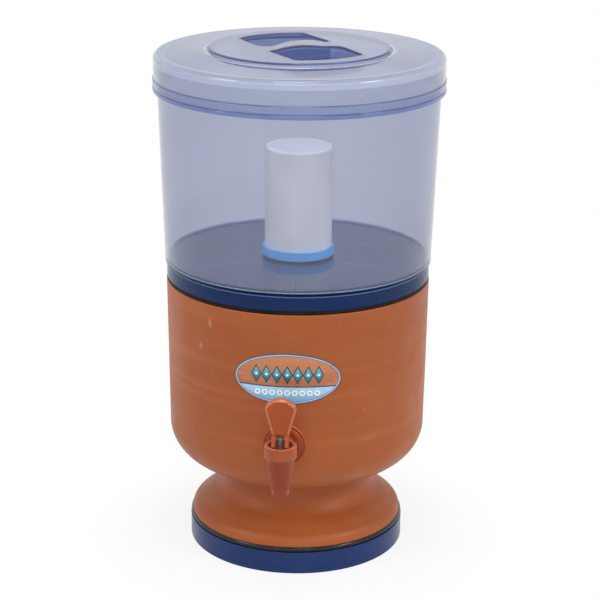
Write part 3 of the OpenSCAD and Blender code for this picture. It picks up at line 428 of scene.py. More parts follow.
def clay_material():
    m = Mat("clay_fired")
    slow = m.fit(m.noise(7, 3, 0.55), 0.30, 0.70)
    tone = m.mix(slow, rgb(157, 78, 29), rgb(169, 86, 33))
    # fine turning lines round the pot, and wider pale rings
    lines = m.noise(1, 4, 0.62, m.stretch(4, 4, 620))
    rings = m.noise(1, 3, 0.5, m.stretch(2.5, 2.5, 95))
    tone = m.mix(m.fit(lines, 0.42, 0.74, 0, 0.13), tone, rgb(142, 68, 28))
    tone = m.mix(m.fit(rings, 0.45, 0.75, 0, 0.26), tone, rgb(190, 110, 62))
    # grains of temper, and slip that dried paler in patches
    grains = m.math("MULTIPLY", m.fit(m.cells(520), 0.05, 0.16, 1, 0), m.fit(m.noise(170, 2), 0.60, 0.68))
    tone = m.some(grains, 0.55, tone, rgb(120, 66, 42))
    tone = m.some(m.fit(m.noise(1300, 2), 0.62, 0.74), 0.22, tone, rgb(206, 140, 96))
    haze = m.fit(m.noise(30, 5, 0.65, m.stretch(1, 1, 1.8)), 0.56, 0.74)
    tone = m.some(haze, 0.12, tone, rgb(200, 134, 92))
    reach = 113                 # radius of the wall where the knocks are
    for angle, z, wide, tall in KNOCKS:
        d = m.near((reach * math.sin(angle), -reach * math.cos(angle), z), (wide, wide, tall))
        frayed = m.math("MULTIPLY", m.math("SUBTRACT", m.noise(420, 4, 0.7), 0.5), 2.4)
        tone = m.mix(m.fit(m.math("ADD", d, frayed), 0.25, 1.0, 0.42, 0), tone, rgb(210, 154, 112))
    rough = m.fit(m.noise(45, 4), 0.25, 0.75, 0.42, 0.54)
    h = m.bump(lines, 0.045)
    h = m.bump(rings, 0.10, h)
    h = m.bump(m.noise(1700, 3, 0.6), 0.035, h)
    h = m.bump(grains, -0.08, h)
    return m.solid(Base_Color=tone, Roughness=rough, Normal=h, Specular_IOR_Level=0.38, Sheen_Weight=0.05,
                   Sheen_Roughness=0.4, Sheen_Tint=rgb(230, 205, 185))


def candle_material():
    m = Mat("candle_white")
    tone = m.mix(m.fit(m.noise(26, 4), 0.3, 0.7), rgb(246, 240, 228), rgb(236, 230, 218))
    pores = m.fit(m.cells(950), 0.06, 0.22, 1, 0)
    tone = m.some(pores, 0.14, tone, rgb(190, 186, 178))
    h = m.bump(m.noise(1, 3, 0.5, m.stretch(8, 8, 500)), 0.03)
    h = m.bump(m.math("MULTIPLY", pores, -1.0), 0.05, h)
    return m.solid(Base_Color=tone, Roughness=m.fit(m.noise(80), 0.2, 0.8, 0.72, 0.86), Normal=h)


def carbon_material():
    m = Mat("carbon_grains")
    cell = m.cells(380)
    tone = m.mix(m.fit(cell, 0.0, 0.6), rgb(58, 58, 60), rgb(20, 20, 22))
    rough = m.fit(m.noise(500), 0.3, 0.7, 0.45, 0.8)
    return m.solid(Base_Color=tone, Roughness=rough, Normal=m.bump(cell, -0.4))


def steel_material():
    m = Mat("pin_metal")
    lines = m.noise(1, 3, 0.6, m.stretch(60, 2600, 2600))
    tone = m.mix(m.fit(lines, 0.3, 0.7), rgb(74, 72, 72), rgb(96, 94, 94))
    rough = m.fit(lines, 0.3, 0.7, 0.34, 0.48)
    return m.solid(Base_Color=tone, Metallic=1.0, Roughness=rough, Normal=m.bump(lines, 0.004))


# ------------------------------------------------------------------ the label's print

class Print(Mat):
    """The label's material. u runs round the pot and v runs up, in millimetres, kept in the UV map."""

    def __init__(self, name):
        super().__init__(name)
        split = self.node("SeparateXYZ", Vector=self.node("UVMap", {"uv_map": "print"}).outputs[0])
        self.u = self.math("MULTIPLY", split.outputs[0], 100.0)
        self.v = self.math("MULTIPLY", split.outputs[1], 100.0)

    def below(self, value, edge, soft=0.16):
        return self.fit(value, edge - soft, edge + soft, 1, 0)

    def far(self, x, y):
        """Length of the flat vector (x, y)."""
        return self.math("SQRT", self.math("ADD", self.math("MULTIPLY", x, x), self.math("MULTIPLY", y, y)))

    def repeat(self, pitch):
        """Distance along u from the middle of the nearest of a row of marks."""
        nearest = self.math("ROUND", self.math("DIVIDE", self.u, pitch))
        return self.math("SUBTRACT", self.u, self.math("MULTIPLY", nearest, pitch))

    def within(self, half):
        """1 where u is no further than half from the middle."""
        return self.math("LESS_THAN", self.math("ABSOLUTE", self.u), half)

    def from_edge(self):
        """Millimetres in from the oval's edge."""
        a, b = LABEL_HALF_ARC, LABEL_HALF_H
        oval = self.far(self.math("DIVIDE", self.u, a), self.math("DIVIDE", self.v, b))
        steep = self.far(self.math("DIVIDE", self.u, a ** 2), self.math("DIVIDE", self.v, b ** 2))
        return self.math("DIVIDE", self.math("MULTIPLY", self.math("SUBTRACT", 1.0, oval), oval), steep)


def field_print(m):
    """The clay-coloured field with its row of seven lozenges."""
    pitch, middle = 8.6, 3.6
    half_w, half_h = 3.5, 6.4
    field = m.mix(m.fit(m.v, -8, 18), rgb(178, 100, 56), rgb(196, 124, 78))
    patches = m.noise(60, 4, 0.6, m.stretch(1, 1, 3))
    field = m.mix(m.fit(patches, 0.48, 0.7, 0, 0.5), field, rgb(206, 146, 104))
    across = m.repeat(pitch)
    up = m.math("SUBTRACT", m.v, middle)
    lozenge = m.math("ADD", m.math("DIVIDE", m.math("ABSOLUTE", across), half_w),
                     m.math("DIVIDE", m.math("ABSOLUTE", up), half_h))
    row = m.within(pitch * 3.5)
    teal = m.mix(m.fit(up, -6, 6), rgb(24, 98, 122), rgb(88, 186, 198))
    field = m.mix(m.math("MULTIPLY", row, m.below(lozenge, 1.28, 0.05)), field, rgb(18, 54, 84))
    field = m.mix(m.math("MULTIPLY", row, m.below(lozenge, 0.98, 0.05)), field, teal)
    return m.mix(m.math("MULTIPLY", row, m.below(m.far(across, up), 1.15)), field, rgb(238, 246, 250))


def band_print(m):
    """The blue band across the lower part with its row of nine rings."""
    pitch, middle = 6.2, -12.0
    ring_r, line = 1.9, 0.55
    band = m.mix(m.fit(m.v, -20, -7), rgb(112, 168, 210), rgb(176, 212, 234))
    from_middle = m.far(m.repeat(pitch), m.math("SUBTRACT", m.v, middle))
    ring = m.math("ABSOLUTE", m.math("SUBTRACT", from_middle, ring_r))
    return m.mix(m.math("MULTIPLY", m.within(pitch * 4.5), m.below(ring, line)), band, rgb(244, 249, 252))


def label_material():
    """A generic print: a sky-blue rim with dark outlines round a field and a band."""
    m = Print("label_print")
    band_top, outline = -6.6, 0.55
    tone = m.mix(m.below(m.v, band_top), field_print(m), band_print(m))
    from_line = m.math("ABSOLUTE", m.math("SUBTRACT", m.v, band_top))
    tone = m.mix(m.below(from_line, outline), tone, rgb(28, 70, 108))
    # the rim: dark line, sky-blue ring, dark edge
    sky = m.mix(m.fit(m.noise(55, 3), 0.3, 0.7), rgb(150, 196, 226), rgb(184, 216, 236))
    edge = m.from_edge()
    tone = m.mix(m.below(edge, 2.2), tone, rgb(26, 74, 110))
    tone = m.mix(m.below(edge, 1.7), tone, sky)
    tone = m.mix(m.below(edge, 0.8), tone, rgb(36, 84, 122))
    # dots of the print, and worn places
    tone = m.some(m.fit(m.noise(2400, 1), 0.58, 0.70), 0.06, tone, WHITE)
    tone = m.some(m.fit(m.noise(300, 5, 0.7), 0.66, 0.74), 0.18, tone, rgb(220, 210, 200))
    rough = m.fit(m.noise(90, 3), 0.3, 0.7, 0.26, 0.38)
    return m.solid(Base_Color=tone, Roughness=rough, Normal=m.bump(m.noise(160, 3), 0.03))


# ------------------------------------------------------------------ clear plastic and the list of materials

ALL = -1                        # inner radius of a zone that reaches to the axis
TANK_TINT = (0.89, 0.90, 0.935)
LID_TINT = (0.67, 0.715, 0.855)

# Level zones of the clear plastics. Several of them paint light and shade into the tint, the shine's tint and
# the haze, as each one notes.
TANK_ZONES = [
    zone(256.6, 3.6, ALL, (0.80, 0.90, 1.0), (0.50, 0.68, 1)),                  # the floor
    zone(256.3, 3.0, 111.9, (0.05, 0.13, 0.42), (0.06, 0.22, 0.80)),            # the foot: painted shade, with a navy shine as a painted reflection of the plate
    zone(258.6, 1.1, 111.9, (0.50, 0.66, 1.0), (0.5, 0.6, 1), 0.36),            # painted highlight: a pale, hazier line above the foot
]
LID_ZONES = [
    zone(430.9, 15.0, ALL, (0.51, 0.57, 0.79), (0.6, 0.7, 1), 0.03),            # the top and the pockets
    zone(432.7, 4.6, 80.2, LID_TINT, haze=-0.03),                               # the flat outside the disc
    zone(437.7, 1.5, 73.8, (0.38, 0.46, 0.85), haze=0.14),                      # painted shade: a dark line along the disc's edge
    zone(435.8, 1.7, 74.6, (0.84, 0.88, 0.97), haze=0.30),                      # painted highlight: a pale, hazier line on the disc's side
    zone(429.7, 7.4, 112, (0.78, 0.82, 0.93), haze=0.24),                       # painted highlight: the shoulder paler and hazier
    zone(419.8, 12.4, 115, (0.905, 0.925, 0.975)),                              # the wall: a paler tint, painted light on the lid's side
    zone(409.8, 6.4, 115, (0.71, 0.76, 0.93)),                                  # painted shade: a deeper tint on the band over the groove
    zone(404.2, 3.1, 115, (0.48, 0.58, 0.88)),                                  # painted shade: a deeper tint on the band under it
    zone(413.1, 0.5, 115, (0.26, 0.31, 0.60)),                                  # painted shade: a dark line at the step of the band
    zone(406.3, 0.7, 115, (0.24, 0.30, 0.60)),                                  # painted shade: a dark line in the groove
]

MATS = {
    "dish_plastic": moulded("dish_blue", rgb(22, 52, 110), 0.28, wear=0.03, spec=0.25),
    # the plate's line is a painted highlight along its rounded top edge
    "plate_plastic": moulded("plate_blue", rgb(13, 42, 90), 0.20, spec=0.16,
                             line=(254.6, 0.8, 112, rgb(98, 128, 170))),
    "bead_rubber": rubber("bead_black", rgb(12, 12, 14), 0.20, 0.35),
    "seal_rubber": rubber("seal_black", rgb(26, 19, 17), 0.55, 0.08),
    "white_rubber": rubber("gasket_white", rgb(214, 212, 205), 0.5),
    "clay": clay_material(),
    "label_film": label_material(),
    "tank_plastic": clear("tank_clear", TANK_TINT, 0.035, 170, zones=TANK_ZONES),
    "lid_plastic": clear("lid_clear", LID_TINT, 0.07, 150, 0.06, LID_ZONES),
    "candle_ceramic": candle_material(),
    "carbon": carbon_material(),
    "cup_plastic": moulded("cup_blue", rgb(96, 186, 242), 0.32),
    "white_plastic": moulded("inner_white", rgb(232, 231, 226), 0.38),
    "pin_steel": steel_material(),
    "ball_plastic": moulded("ball_orange", rgb(206, 98, 54), 0.34),
    # the tap's edge paints sheen along the spout's and collar's sides
    "tap_plastic": moulded("tap_brown", rgb(144, 55, 10), 0.26, rgb(126, 46, 8), wear=0.06, sheen=0.12,
                           mottle=((0, TAP_Y, 134.9), (24, 24, 6.1), rgb(178, 92, 50)),
                           edge=(0.22, 0.50, 0.75, rgb(206, 124, 84), 0)),
    "stem_plastic": moulded("stem_grey", rgb(126, 120, 114), 0.36, wear=0.06),
    # the lever's edge paints sheen on the paddle's bevels
    "lever_plastic": moulded("lever_brown", rgb(168, 74, 19), 0.26, rgb(156, 67, 17), wear=0.03, sheen=0.12,
                             edge=(0.80, 0.97, 0.6, rgb(204, 122, 76), 148.6)),
}

# ------------------------------------------------------------------ the CAD pieces' materials and bevels

for part in frame["record"]["subparts"]:
    o = frame["nodes"][part["node"]]
    for s in o.material_slots:
        s.material = MATS[part["material_slot"]]
    if not o.material_slots:
        o.data.materials.append(MATS[part["material_slot"]])

for node, width in (("support_plate", 0.5), ("outer_washer", 0.5), ("tap_stem", 0.4)):
    edge = frame["nodes"][node].modifiers.new("edges", "BEVEL")
    edge.width = width * MM
    edge.segments = 3
    edge.limit_method = "ANGLE"
    edge.angle_limit = math.radians(50)

# ------------------------------------------------------------------ base dish and bead

DISH_R, DISH_TOP = 94.0, 19.3
DISH_IN = 92.5                  # inside of its wall
DISH_FLOOR = 2.5
HOLLOW, HOLLOW_R = 0.9, 71.0    # the underside is hollow by this much, inside this radius
SHELF_IN, SHELF_OUT = 79.1, 82.1
DISH_RIBS = 12
BEAD_C, BEAD_R = (91.3, 21.5), 2.4

b = Build().lathe(dense(rounded([
    (0, HOLLOW), (HOLLOW_R - 1, HOLLOW, 0.6), (HOLLOW_R, 0, 0.4), (DISH_R, 0, 0.6), (DISH_R, DISH_TOP, 0.5),
    (DISH_IN, DISH_TOP, 0.4), (DISH_IN, DISH_FLOOR, 1.2), (SHELF_OUT, DISH_FLOOR, 0.8),
    (SHELF_OUT, FOOT_Z, 0.4), (SHELF_IN, FOOT_Z, 0.4), (SHELF_IN, DISH_FLOOR, 0.8), (0, DISH_FLOOR)],
    step=15), 12), 224)
for i in range(DISH_RIBS):
    turn = (i + 0.5) * FULL / DISH_RIBS
    bar(b, turn, SHELF_OUT - 0.5, DISH_IN + 0.4, DISH_FLOOR - 0.2, FOOT_Z - 0.1, 2, 0.5)
b.done("dish", "pot", MATS["dish_plastic"], ("base_dish",), "dish_plastic")


def bead_bend(r, z, w):
    """Swells and thins the bead a little on its way round."""
    k = 0.98 + 0.05 * noise.noise((3 * math.cos(w), 3 * math.sin(w), 7))
    return BEAD_C[0] + (r - BEAD_C[0]) * k, BEAD_C[1] + (z - BEAD_C[1]) * k


Build().lathe(arc(BEAD_C, BEAD_R, 0, 345, 23), 256, bend=bead_bend).done(
    "bead", "pot", MATS["bead_rubber"], ("foot_bead",), "bead_rubber")

# ------------------------------------------------------------------ clay reservoir

CLAY_WALL = 9.5
ROLL_C, ROLL_R = (81.94, 24.27), 10.3           # rolled edge of the foot
WAIST_C, WAIST_R = (89.9, 65.24), 27.9          # hollow between foot and bowl
NECK_C, NECK_R = (65.07, 67.09), 3.0
BOWL_C, BOWL_CORNER = (78.0, 109.61), 33.4      # rounded bottom of the bowl
POT_FLOOR, POT_UNDER = 72.04, 62.04
WALL_MID = 124.0                                # a height on the straight wall, outside radius 111.6

outside = ([(FOOT_IN, FOOT_Z + 0.1), (FOOT_IN, FOOT_Z), (FOOT_IN + 7, FOOT_Z)]
           + arc(ROLL_C, ROLL_R, -71.5, 55.25, 22)
           + arc(WAIST_C, WAIST_R, 235.25, 175.75, 22)
           + arc(NECK_C, NECK_R, 175.75, 108.1, 8)
           + arc(BOWL_C, BOWL_CORNER, -71.9, 0, 26))
rim = rounded([(111.6, WALL_MID), (RIM_R, RIM_Z, 1.1), (RIM_R - CLAY_WALL, RIM_Z, 1.3),
               (111.6 - CLAY_WALL, WALL_MID)], closed=False)[1:]
inside = arc(BOWL_C, BOWL_CORNER - CLAY_WALL, 0, -71.9, 16) + [(40, POT_FLOOR), (0, POT_FLOOR)]
under = ([(0, POT_UNDER), (50, POT_UNDER)] + arc(WAIST_C, WAIST_R + CLAY_WALL, 184.9, 235.25, 12)
         + [(FOOT_IN, 29.36)])


def clay_bend(r, z, w):
    """Hand-turned waves of a few tenths of a millimetre. The floor and the sole stay flat."""
    if r < 60 or z < 16:
        return r, z
    p = Vector((math.cos(w), math.sin(w), z / 60))
    k = 0.22 * noise.noise(p * 1.6) + 0.06 * noise.noise(Vector((p.x, p.y, z / 5.0)) * 1.2)
    return r - 0.12 + 0.8 * k, z


def drill_tap_hole(piece):
    """Cuts the round hole for the tap's shank through the front wall."""
    hole_r, y_from, y_to = 8.7, -95, -118
    loops = [[(x, y, TAP_Z + z) for x, z in circle(hole_r, 64)] for y in (y_from, y_to)]
    cutter = Build().loft(loops, True, True).done("tap_hole_cutter", "pot", MATS["clay"])
    cut = piece.modifiers.new("tap_hole", "BOOLEAN")
    cut.object = cutter
    cut.operation = "DIFFERENCE"
    cut.solver = "EXACT"
    bpy.context.view_layer.update()
    evaluated = piece.evaluated_get(bpy.context.evaluated_depsgraph_get())
    with_hole = bpy.data.meshes.new_from_object(evaluated)
    piece.modifiers.clear()
    piece.data = with_hole
    bpy.data.objects.remove(cutter)
    piece.modifiers.new("normals", "WEIGHTED_NORMAL").keep_sharp = True


clay = Build().lathe(dense(outside + rim + inside + under, 4.0), 256, bend=clay_bend)
clay = clay.done("clay_pot", "pot", MATS["clay"], ("clay_reservoir",), "clay", sharp=50)
drill_tap_hole(clay)

# ------------------------------------------------------------------ rim ring

SEAL_IN, SEAL_OUT = 103.9, 112.5
SEAL_Z, SEAL_TOP = 239.32, 242.78

Build().lathe(rounded([(SEAL_IN, SEAL_Z, 0.5), (SEAL_OUT, SEAL_Z, 0.9), (SEAL_OUT, SEAL_TOP, 0.9),
                       (SEAL_IN, SEAL_TOP, 0.5)], step=20), 224).done(
    "rim_ring", "pot", MATS["seal_rubber"], ("rim_seal",), "seal_rubber")

# ------------------------------------------------------------------ label

LABEL_TURN = math.radians(1)
FILM = 0.38                     # how far the print stands off the wall
FILM_EDGE = (0.30, 0.04)        # and its rounded edge


def label_point(s, a, lift):
    """A point at the share s of the oval's size, in the direction a, lifted off the wall."""
    z = LABEL_HALF_H * s * math.sin(a)
    r = BOWL_R + (LABEL_Z + z - WALL_Z) * WALL_LEAN + lift
    phi = math.asin(LABEL_HALF_W * s * math.cos(a) / LABEL_R) + LABEL_TURN
    return (r * math.sin(phi), -r * math.cos(phi), LABEL_Z + z)


turns = [FULL * i / 144 for i in range(144)]
shares = [0.002] + [k / 26 for k in range(1, 26)] + [0.996]
rows = [[label_point(s, a, FILM) for a in turns] for s in shares]
rows += [[label_point(1.0, a, lift) for a in turns] for lift in FILM_EDGE]
label = Build().loft(rows, True).done("label", "pot", MATS["label_film"], ("front_label",), "label_film")
uv = label.data.uv_layers.new(name="print")
for loop in label.data.loops:
    x, y, z = label.data.vertices[loop.vertex_index].co / MM
    phi = math.atan2(x, -y) - LABEL_TURN
    uv.data[loop.index].uv = (phi * LABEL_R / 100, (z - LABEL_Z) / 100)

# ------------------------------------------------------------------ tank

STEM_HOLE_R = 5.6
TANK_FOOT_R, TANK_RIM_R, TANK_WALL = 114.2, 119.9, 2.6

Build().lathe(dense(rounded([
    (STEM_HOLE_R, TANK_Z), (112.5, TANK_Z, 0.4), (TANK_FOOT_R, TANK_Z + 0.3, 3.7), (TANK_FOOT_R + 0.05, 262),
    (TANK_RIM_R, TANK_TOP - 1.8), (TANK_RIM_R, TANK_TOP, 1.7), (TANK_RIM_R - TANK_WALL, TANK_TOP, 0.7),
    (TANK_RIM_R - TANK_WALL - 0.1, TANK_TOP - 2.5), (TANK_FOOT_R - TANK_WALL + 0.1, 264),
    (TANK_FOOT_R - TANK_WALL, TANK_FLOOR, 3.0), (STEM_HOLE_R, TANK_FLOOR)], step=9), 14), 256).done(
    "tank", "upper_tank", MATS["tank_plastic"], ("water_tank",), "tank_plastic", sharp=60)

b = Build()
for i in range(6):
    bar(b, math.radians(33 + 60 * i), 36, 99.6, TANK_FLOOR + 0.02, TANK_FLOOR + 0.30, 1.2, 0.2)
b.done("tank_floor_ribs", "upper_tank", MATS["tank_plastic"], slot="tank_plastic")

# ------------------------------------------------------------------ lid

SEG = 240
R_TOP, R_LOW = 72.5, 71.0               # where the disc's two faces start, above and below
DISC_R, STEP_R, LIP_R = 75.8, 77.7, 79.9
DISC_WALL = 2.4
LID_R, BAND_R = 122.3, 123.0
LID_FOOT = 402.65
GROOVE_Z, GROOVE_TOP = 406.0, 406.6
SKIRT_IN = 120.4
ARCH_RISE, ARCH_REACH = 2.8, 21         # the grip's arch: its rise over the disc, and half its width
POCKET_R = 62                           # outer side of the finger pockets
NEAR = [(26, 22), (12, 17), (-11, 8), (-24, -1)]        # pocket's side towards the grip, in the grip's frame

section = rounded([
    (R_TOP, DISC_TOP), (DISC_R, DISC_TOP, 1.1), (DISC_R, LID_TOP + 1.1, 0.5), (STEP_R, LID_TOP + 1.1, 0.4),
    (STEP_R + 0.05, LID_TOP + 2.1, 0.45), (LIP_R, LID_TOP + 2.1, 0.6), (LIP_R + 0.4, LID_TOP + 1.38, 0.5),
    (113.6, LID_TOP, 8), (LID_R, LID_TOP, 8.0), (LID_R, 413.2, 0.3), (BAND_R, 413.0, 0.4),
    (BAND_R, GROOVE_TOP + 0.4, 0.3), (LID_R + 0.1, GROOVE_TOP, 0.2), (LID_R + 0.1, GROOVE_Z, 0.2),
    (BAND_R + 0.1, GROOVE_Z - 0.3, 0.3),
    (BAND_R + 0.1, LID_FOOT, 0.7), (SKIRT_IN + 0.05, LID_FOOT, 0.5), (SKIRT_IN, LID_UNDER, 2.0),
    (115.5, LID_UNDER, 3), (LIP_R, LID_UNDER + 1.4, 3), (DISC_R - DISC_WALL, LID_UNDER + 1.4, 0.8),
    (DISC_R - DISC_WALL, DISC_TOP - DISC_WALL, 0.8), (R_LOW, DISC_TOP - DISC_WALL)], closed=False, step=9)
lid = Build().lathe(section, SEG, closed=False)

# a finger pocket seen from above, in the grip's own frame
pocket = dense(rounded([(x, y, r) for (x, y), r in zip(NEAR, (3.2, 9, 9, 4))]
                       + [(-31, -2, 4), (-37, 4, 4), (-51.6, 34.4, 4)]
                       + arc((0, 0), POCKET_R, 142, 90, 13) + [(3.0, 61.8, 4)], step=18), 2.2)

# steps down into a pocket: (how far in from its outline, depth, share of the arch's height)
OUTER_STEPS = [(-1.0, 0, 1), (-0.62, 0.10, 1), (-0.28, 0.35, 1), (-0.06, 0.75, 1), (0.05, 1.3, 0.95),
               (0.25, 5, 0.5), (0.45, 9.5, 0.1), (0.62, 11.6, 0), (0.95, 12.7, 0), (1.5, 13.5, 0),
               (2.2, 13.9, 0), (2.8, 14.0, 0)]
INNER_STEPS = [(-2.6, 0, 1), (-2.1, 0.3, 1), (-1.85, 0.9, 0.9), (-1.6, 4, 0.5), (-1.4, 8, 0.1),
               (-1.2, 10.6, 0), (-0.7, 12.0, 0), (0.1, 13.0, 0), (1.2, 13.4, 0)]


def near_line(x):
    """y of the pocket's side towards the grip."""
    for (x1, y1), (x0, y0) in zip(NEAR, NEAR[1:]):
        if x0 <= x <= x1:
            return y0 + (y1 - y0) * (x - x0) / (x1 - x0)
    return NEAR[-1][1] if x < NEAR[-1][0] else NEAR[0][1]


def crown(x, y):
    """Height of the grip's arch over the disc, in the grip's frame."""
    if abs(x) >= ARCH_REACH or y > near_line(x) + 3.5 or y < -near_line(-x) - 3.5:
        return 0.0
    big = (ARCH_REACH * ARCH_REACH + ARCH_RISE * ARCH_RISE) / (2 * ARCH_RISE)
    return max(0.0, math.sqrt(big * big - x * x) - big + ARCH_RISE)


def turned(x, y, z, a):
    return (x * math.cos(a) - y * math.sin(a), x * math.sin(a) + y * math.cos(a), z)


def inside_loop(x, y, loop):
    hit = False
    for i in range(len(loop)):
        (x1, y1), (x2, y2) = loop[i - 1], loop[i]
        if (y1 > y) != (y2 > y) and x < (x2 - x1) * (y - y1) / (y2 - y1) + x1:
            hit = not hit
    return hit


def arch_points(loops):
    """A grid of points over the arch, clear of the pockets' outlines."""
    out = []
    cell, half = 2.1, 12
    for i in range(-half, half + 1):
        for j in range(-half, half + 1):
            x, y = i * cell, j * cell
            if -near_line(-x) + 1.2 < y < near_line(x) - 1.2 and not any(
                    min(math.dist((x, y), q) for q in loop) < 1.3 for loop in loops):
                out.append((x, y))
    return out


def both_pockets(d):
    """The outlines of the two pockets, moved inwards by d."""
    outline = inward(pocket, d)
    return [[(half * x, half * y) for x, y in outline] for half in (1, -1)]


def disc_face(z0, r_out, levels):
    """One face of the disc: the flat with the grip's arch, and the two pockets' walls and floors below it."""
    loops = both_pockets(levels[0][0])
    pts = []
    edges = []
    for loop in [[turned(x, y, 0, -TURN)[:2] for x, y in circle(r_out, SEG)]] + loops:
        k = len(pts)
        edges += [(k + i, k + (i + 1) % len(loop)) for i in range(len(loop))]
        pts += loop
    pts += arch_points(loops)
    made = delaunay_2d_cdt([Vector(p) for p in pts], edges, [], 0, 1e-5)
    points, faces = made[0], made[2]
    base = len(lid.verts)
    lid.verts += [turned(v.x, v.y, z0 + crown(v.x, v.y), TURN) for v in points]
    for f in faces:
        cx = sum(points[i].x for i in f) / len(f)
        cy = sum(points[i].y for i in f) / len(f)
        if not any(inside_loop(cx, cy, loop) for loop in loops):
            lid.faces.append(tuple(base + i for i in f))
    for side in (0, 1):
        rows = [[turned(x, y, z0 + share * crown(*start) - drop, TURN)
                 for (x, y), start in zip(both_pockets(d)[side], loops[side])] for d, drop, share in levels]
        lid.loft(rows, False, True)


disc_face(DISC_TOP, R_TOP, OUTER_STEPS)
disc_face(DISC_TOP - DISC_WALL, R_LOW, INNER_STEPS)
lid.done("lid", "lid", MATS["lid_plastic"], ("tank_lid",), "lid_plastic", sharp=60, weld=0.01)

# ------------------------------------------------------------------ candle and cup

CANDLE_R, CANDLE_Z, CANDLE_TOP = 28.75, 261.95, 354.7
CORE_R, CORE_TOP = 20.75, 346.4         # the carbon's room inside
CUP_R, CUP_Z, CUP_TOP = 30.75, 259.45, 267.9
CUP_IN, CUP_FLOOR = 28.95, 261.9
STEM_R, BORE_R, STEM_END = 5.0, 2.4, 222.5

Build().lathe(dense(rounded([
    (CORE_R, CANDLE_Z), (CANDLE_R - 0.05, CANDLE_Z, 0.4), (CANDLE_R, CANDLE_TOP - 0.3, 2.6),
    (12, CANDLE_TOP - 0.1, 8), (0, CANDLE_TOP), (0, CORE_TOP), (CORE_R, CORE_TOP, 3)],
    step=12), 8), 160).done(
    "candle", "upper_tank", MATS["candle_ceramic"], ("candle_ceramic",), "candle_ceramic")

cup = rounded([(BORE_R, STEM_END), (BORE_R, CUP_FLOOR), (CUP_IN, CUP_FLOOR), (CUP_IN, CUP_TOP, 0.6),
               (CUP_R, CUP_TOP, 0.8), (CUP_R, CUP_Z, 1.2), (16, CUP_Z), (STEM_R, CUP_Z)],
              closed=False, step=15)
tooth = [(STEM_R, 0), (STEM_R, -0.5), (STEM_R - 0.45, -0.9), (STEM_R - 0.45, -1.1)]
cup += thread(TANK_FLOOR, -1.5, 23, tooth)
cup += [(STEM_R, STEM_END + 0.9), (STEM_R - 0.6, STEM_END)]
Build().lathe(cup, 160).done("cup", "upper_tank", MATS["cup_plastic"], ("candle_cup",), "cup_plastic")

# ------------------------------------------------------------------ tap

SPOUT_Z, SPOUT_TIP_R = 97.3, 6.7
SPOUT_SLOPE = 5.0 / 32.4
SPOUT_RIBS = 44
COLLAR_Z, COLLAR_TOP, COLLAR_R = 130.3, 140.2, 13.3
COLLAR_GROOVES = 24
BONNET_R, BONNET_Z = 10.2, 130.5        # the bonnet's seat in the collar
SEAT_R, SEAT_Z = 7.4, 121.0             # the chamber over the plug's seat
WAY_R, ROOM_R = 3.5, 8.0                # the hole through the seat, and the spout's room under it
SHANK_R = 8.0
FLANGE_Z, FLANGE_R = 114.95, 15.7       # along the shank, whose own heights run towards -Y
at_tap = Matrix.Translation((0, TAP_Y, 0))
along = Matrix.Translation((0, 0, TAP_Z)) @ Matrix.Rotation(math.radians(90), 4, "X")


def spout_r(z):
    """Outer radius of the tapered spout."""
    return SPOUT_TIP_R + (z - SPOUT_Z) * SPOUT_SLOPE


def ridge(w, count, r, half):
    """1 on the middle of the nearest of count ridges, down to 0 at the distance half (mm) from it."""
    k = abs(((w / FULL * count) % 1) - 0.5) * FULL * r / count
    return max(0.0, 1 - (k / half) ** 2)


def barrel_bend(r, z, w):
    """Cuts the collar's grooves and raises the spout's fine ribs."""
    if COLLAR_Z + 0.3 < z < COLLAR_TOP - 0.3 and r > COLLAR_R - 0.3:
        r -= 0.42 * ridge(w, COLLAR_GROOVES, COLLAR_R, 0.85) * min(1, (z - COLLAR_Z - 0.3) / 0.5)
    elif 100.5 < z < 129.6 and abs(spout_r(z) - r) < 0.2:
        r += 0.22 * ridge(w, SPOUT_RIBS, r, 0.42) * min(1, (z - 100.5) / 1.5)
    return r, z


barrel = rounded([
    (5.4, SPOUT_Z, 0.3), (5.6, SPOUT_Z), (spout_r(98.6), SPOUT_Z, 1.3), (spout_r(99.5), 99.5),
    (spout_r(TAP_Z), TAP_Z), (12.1, 127.9, 0.4), (12.3, 129.3, 0.3), (12.5, 129.9, 0.2),
    (COLLAR_R, COLLAR_Z, 0.5), (COLLAR_R, COLLAR_TOP, 0.8), (BONNET_R + 0.1, COLLAR_TOP, 0.5),
    (BONNET_R, 136.0), (BONNET_R, BONNET_Z), (SEAT_R, BONNET_Z), (SEAT_R, SEAT_Z), (WAY_R, SEAT_Z),
    (WAY_R, SEAT_Z - 3), (ROOM_R, SEAT_Z - 3), (ROOM_R, SEAT_Z - 4)], step=15)
shank = [(3.1, 86.2), (7.2, 86.2)]
shank += thread(88.0, 2.0, 11, [(SHANK_R - 0.45, 0), (SHANK_R, 0.6), (SHANK_R, 0.9), (SHANK_R - 0.45, 1.4)])
shank += rounded([
    (SHANK_R, 111), (SHANK_R, FLANGE_Z), (FLANGE_R, FLANGE_Z, 0.5), (FLANGE_R, 117.2, 0.7),
    (14.5, 117.2, 0.2), (14.2, 117.95, 0.4), (9.5, 118.15, 2.0), (7.6, 119.8, 1.4), (7.5, 136.5), (3.1, 137)],
    closed=False, step=12)
tap = Build().lathe(dense(barrel, 1.4), 352, place=at_tap, bend=barrel_bend)
tap.lathe(shank, 144, place=along)
tap.done("tap_shell", "pot", MATS["tap_plastic"], ("tap_body",), "tap_plastic", sharp=42)

# ------------------------------------------------------------------ lever

PIV = Vector((0, TAP_Y, 140.4))         # the lever's pin, from which its sizes are measured
LENGTH, FOOT = 39.5, 8.0                # top and foot of the paddle
HALF_TOP, HALF_FOOT = 12.6, 7.0         # half widths there
CAM = 2.2918                            # the cam lifts the stem by this much per radian
SWING = 75

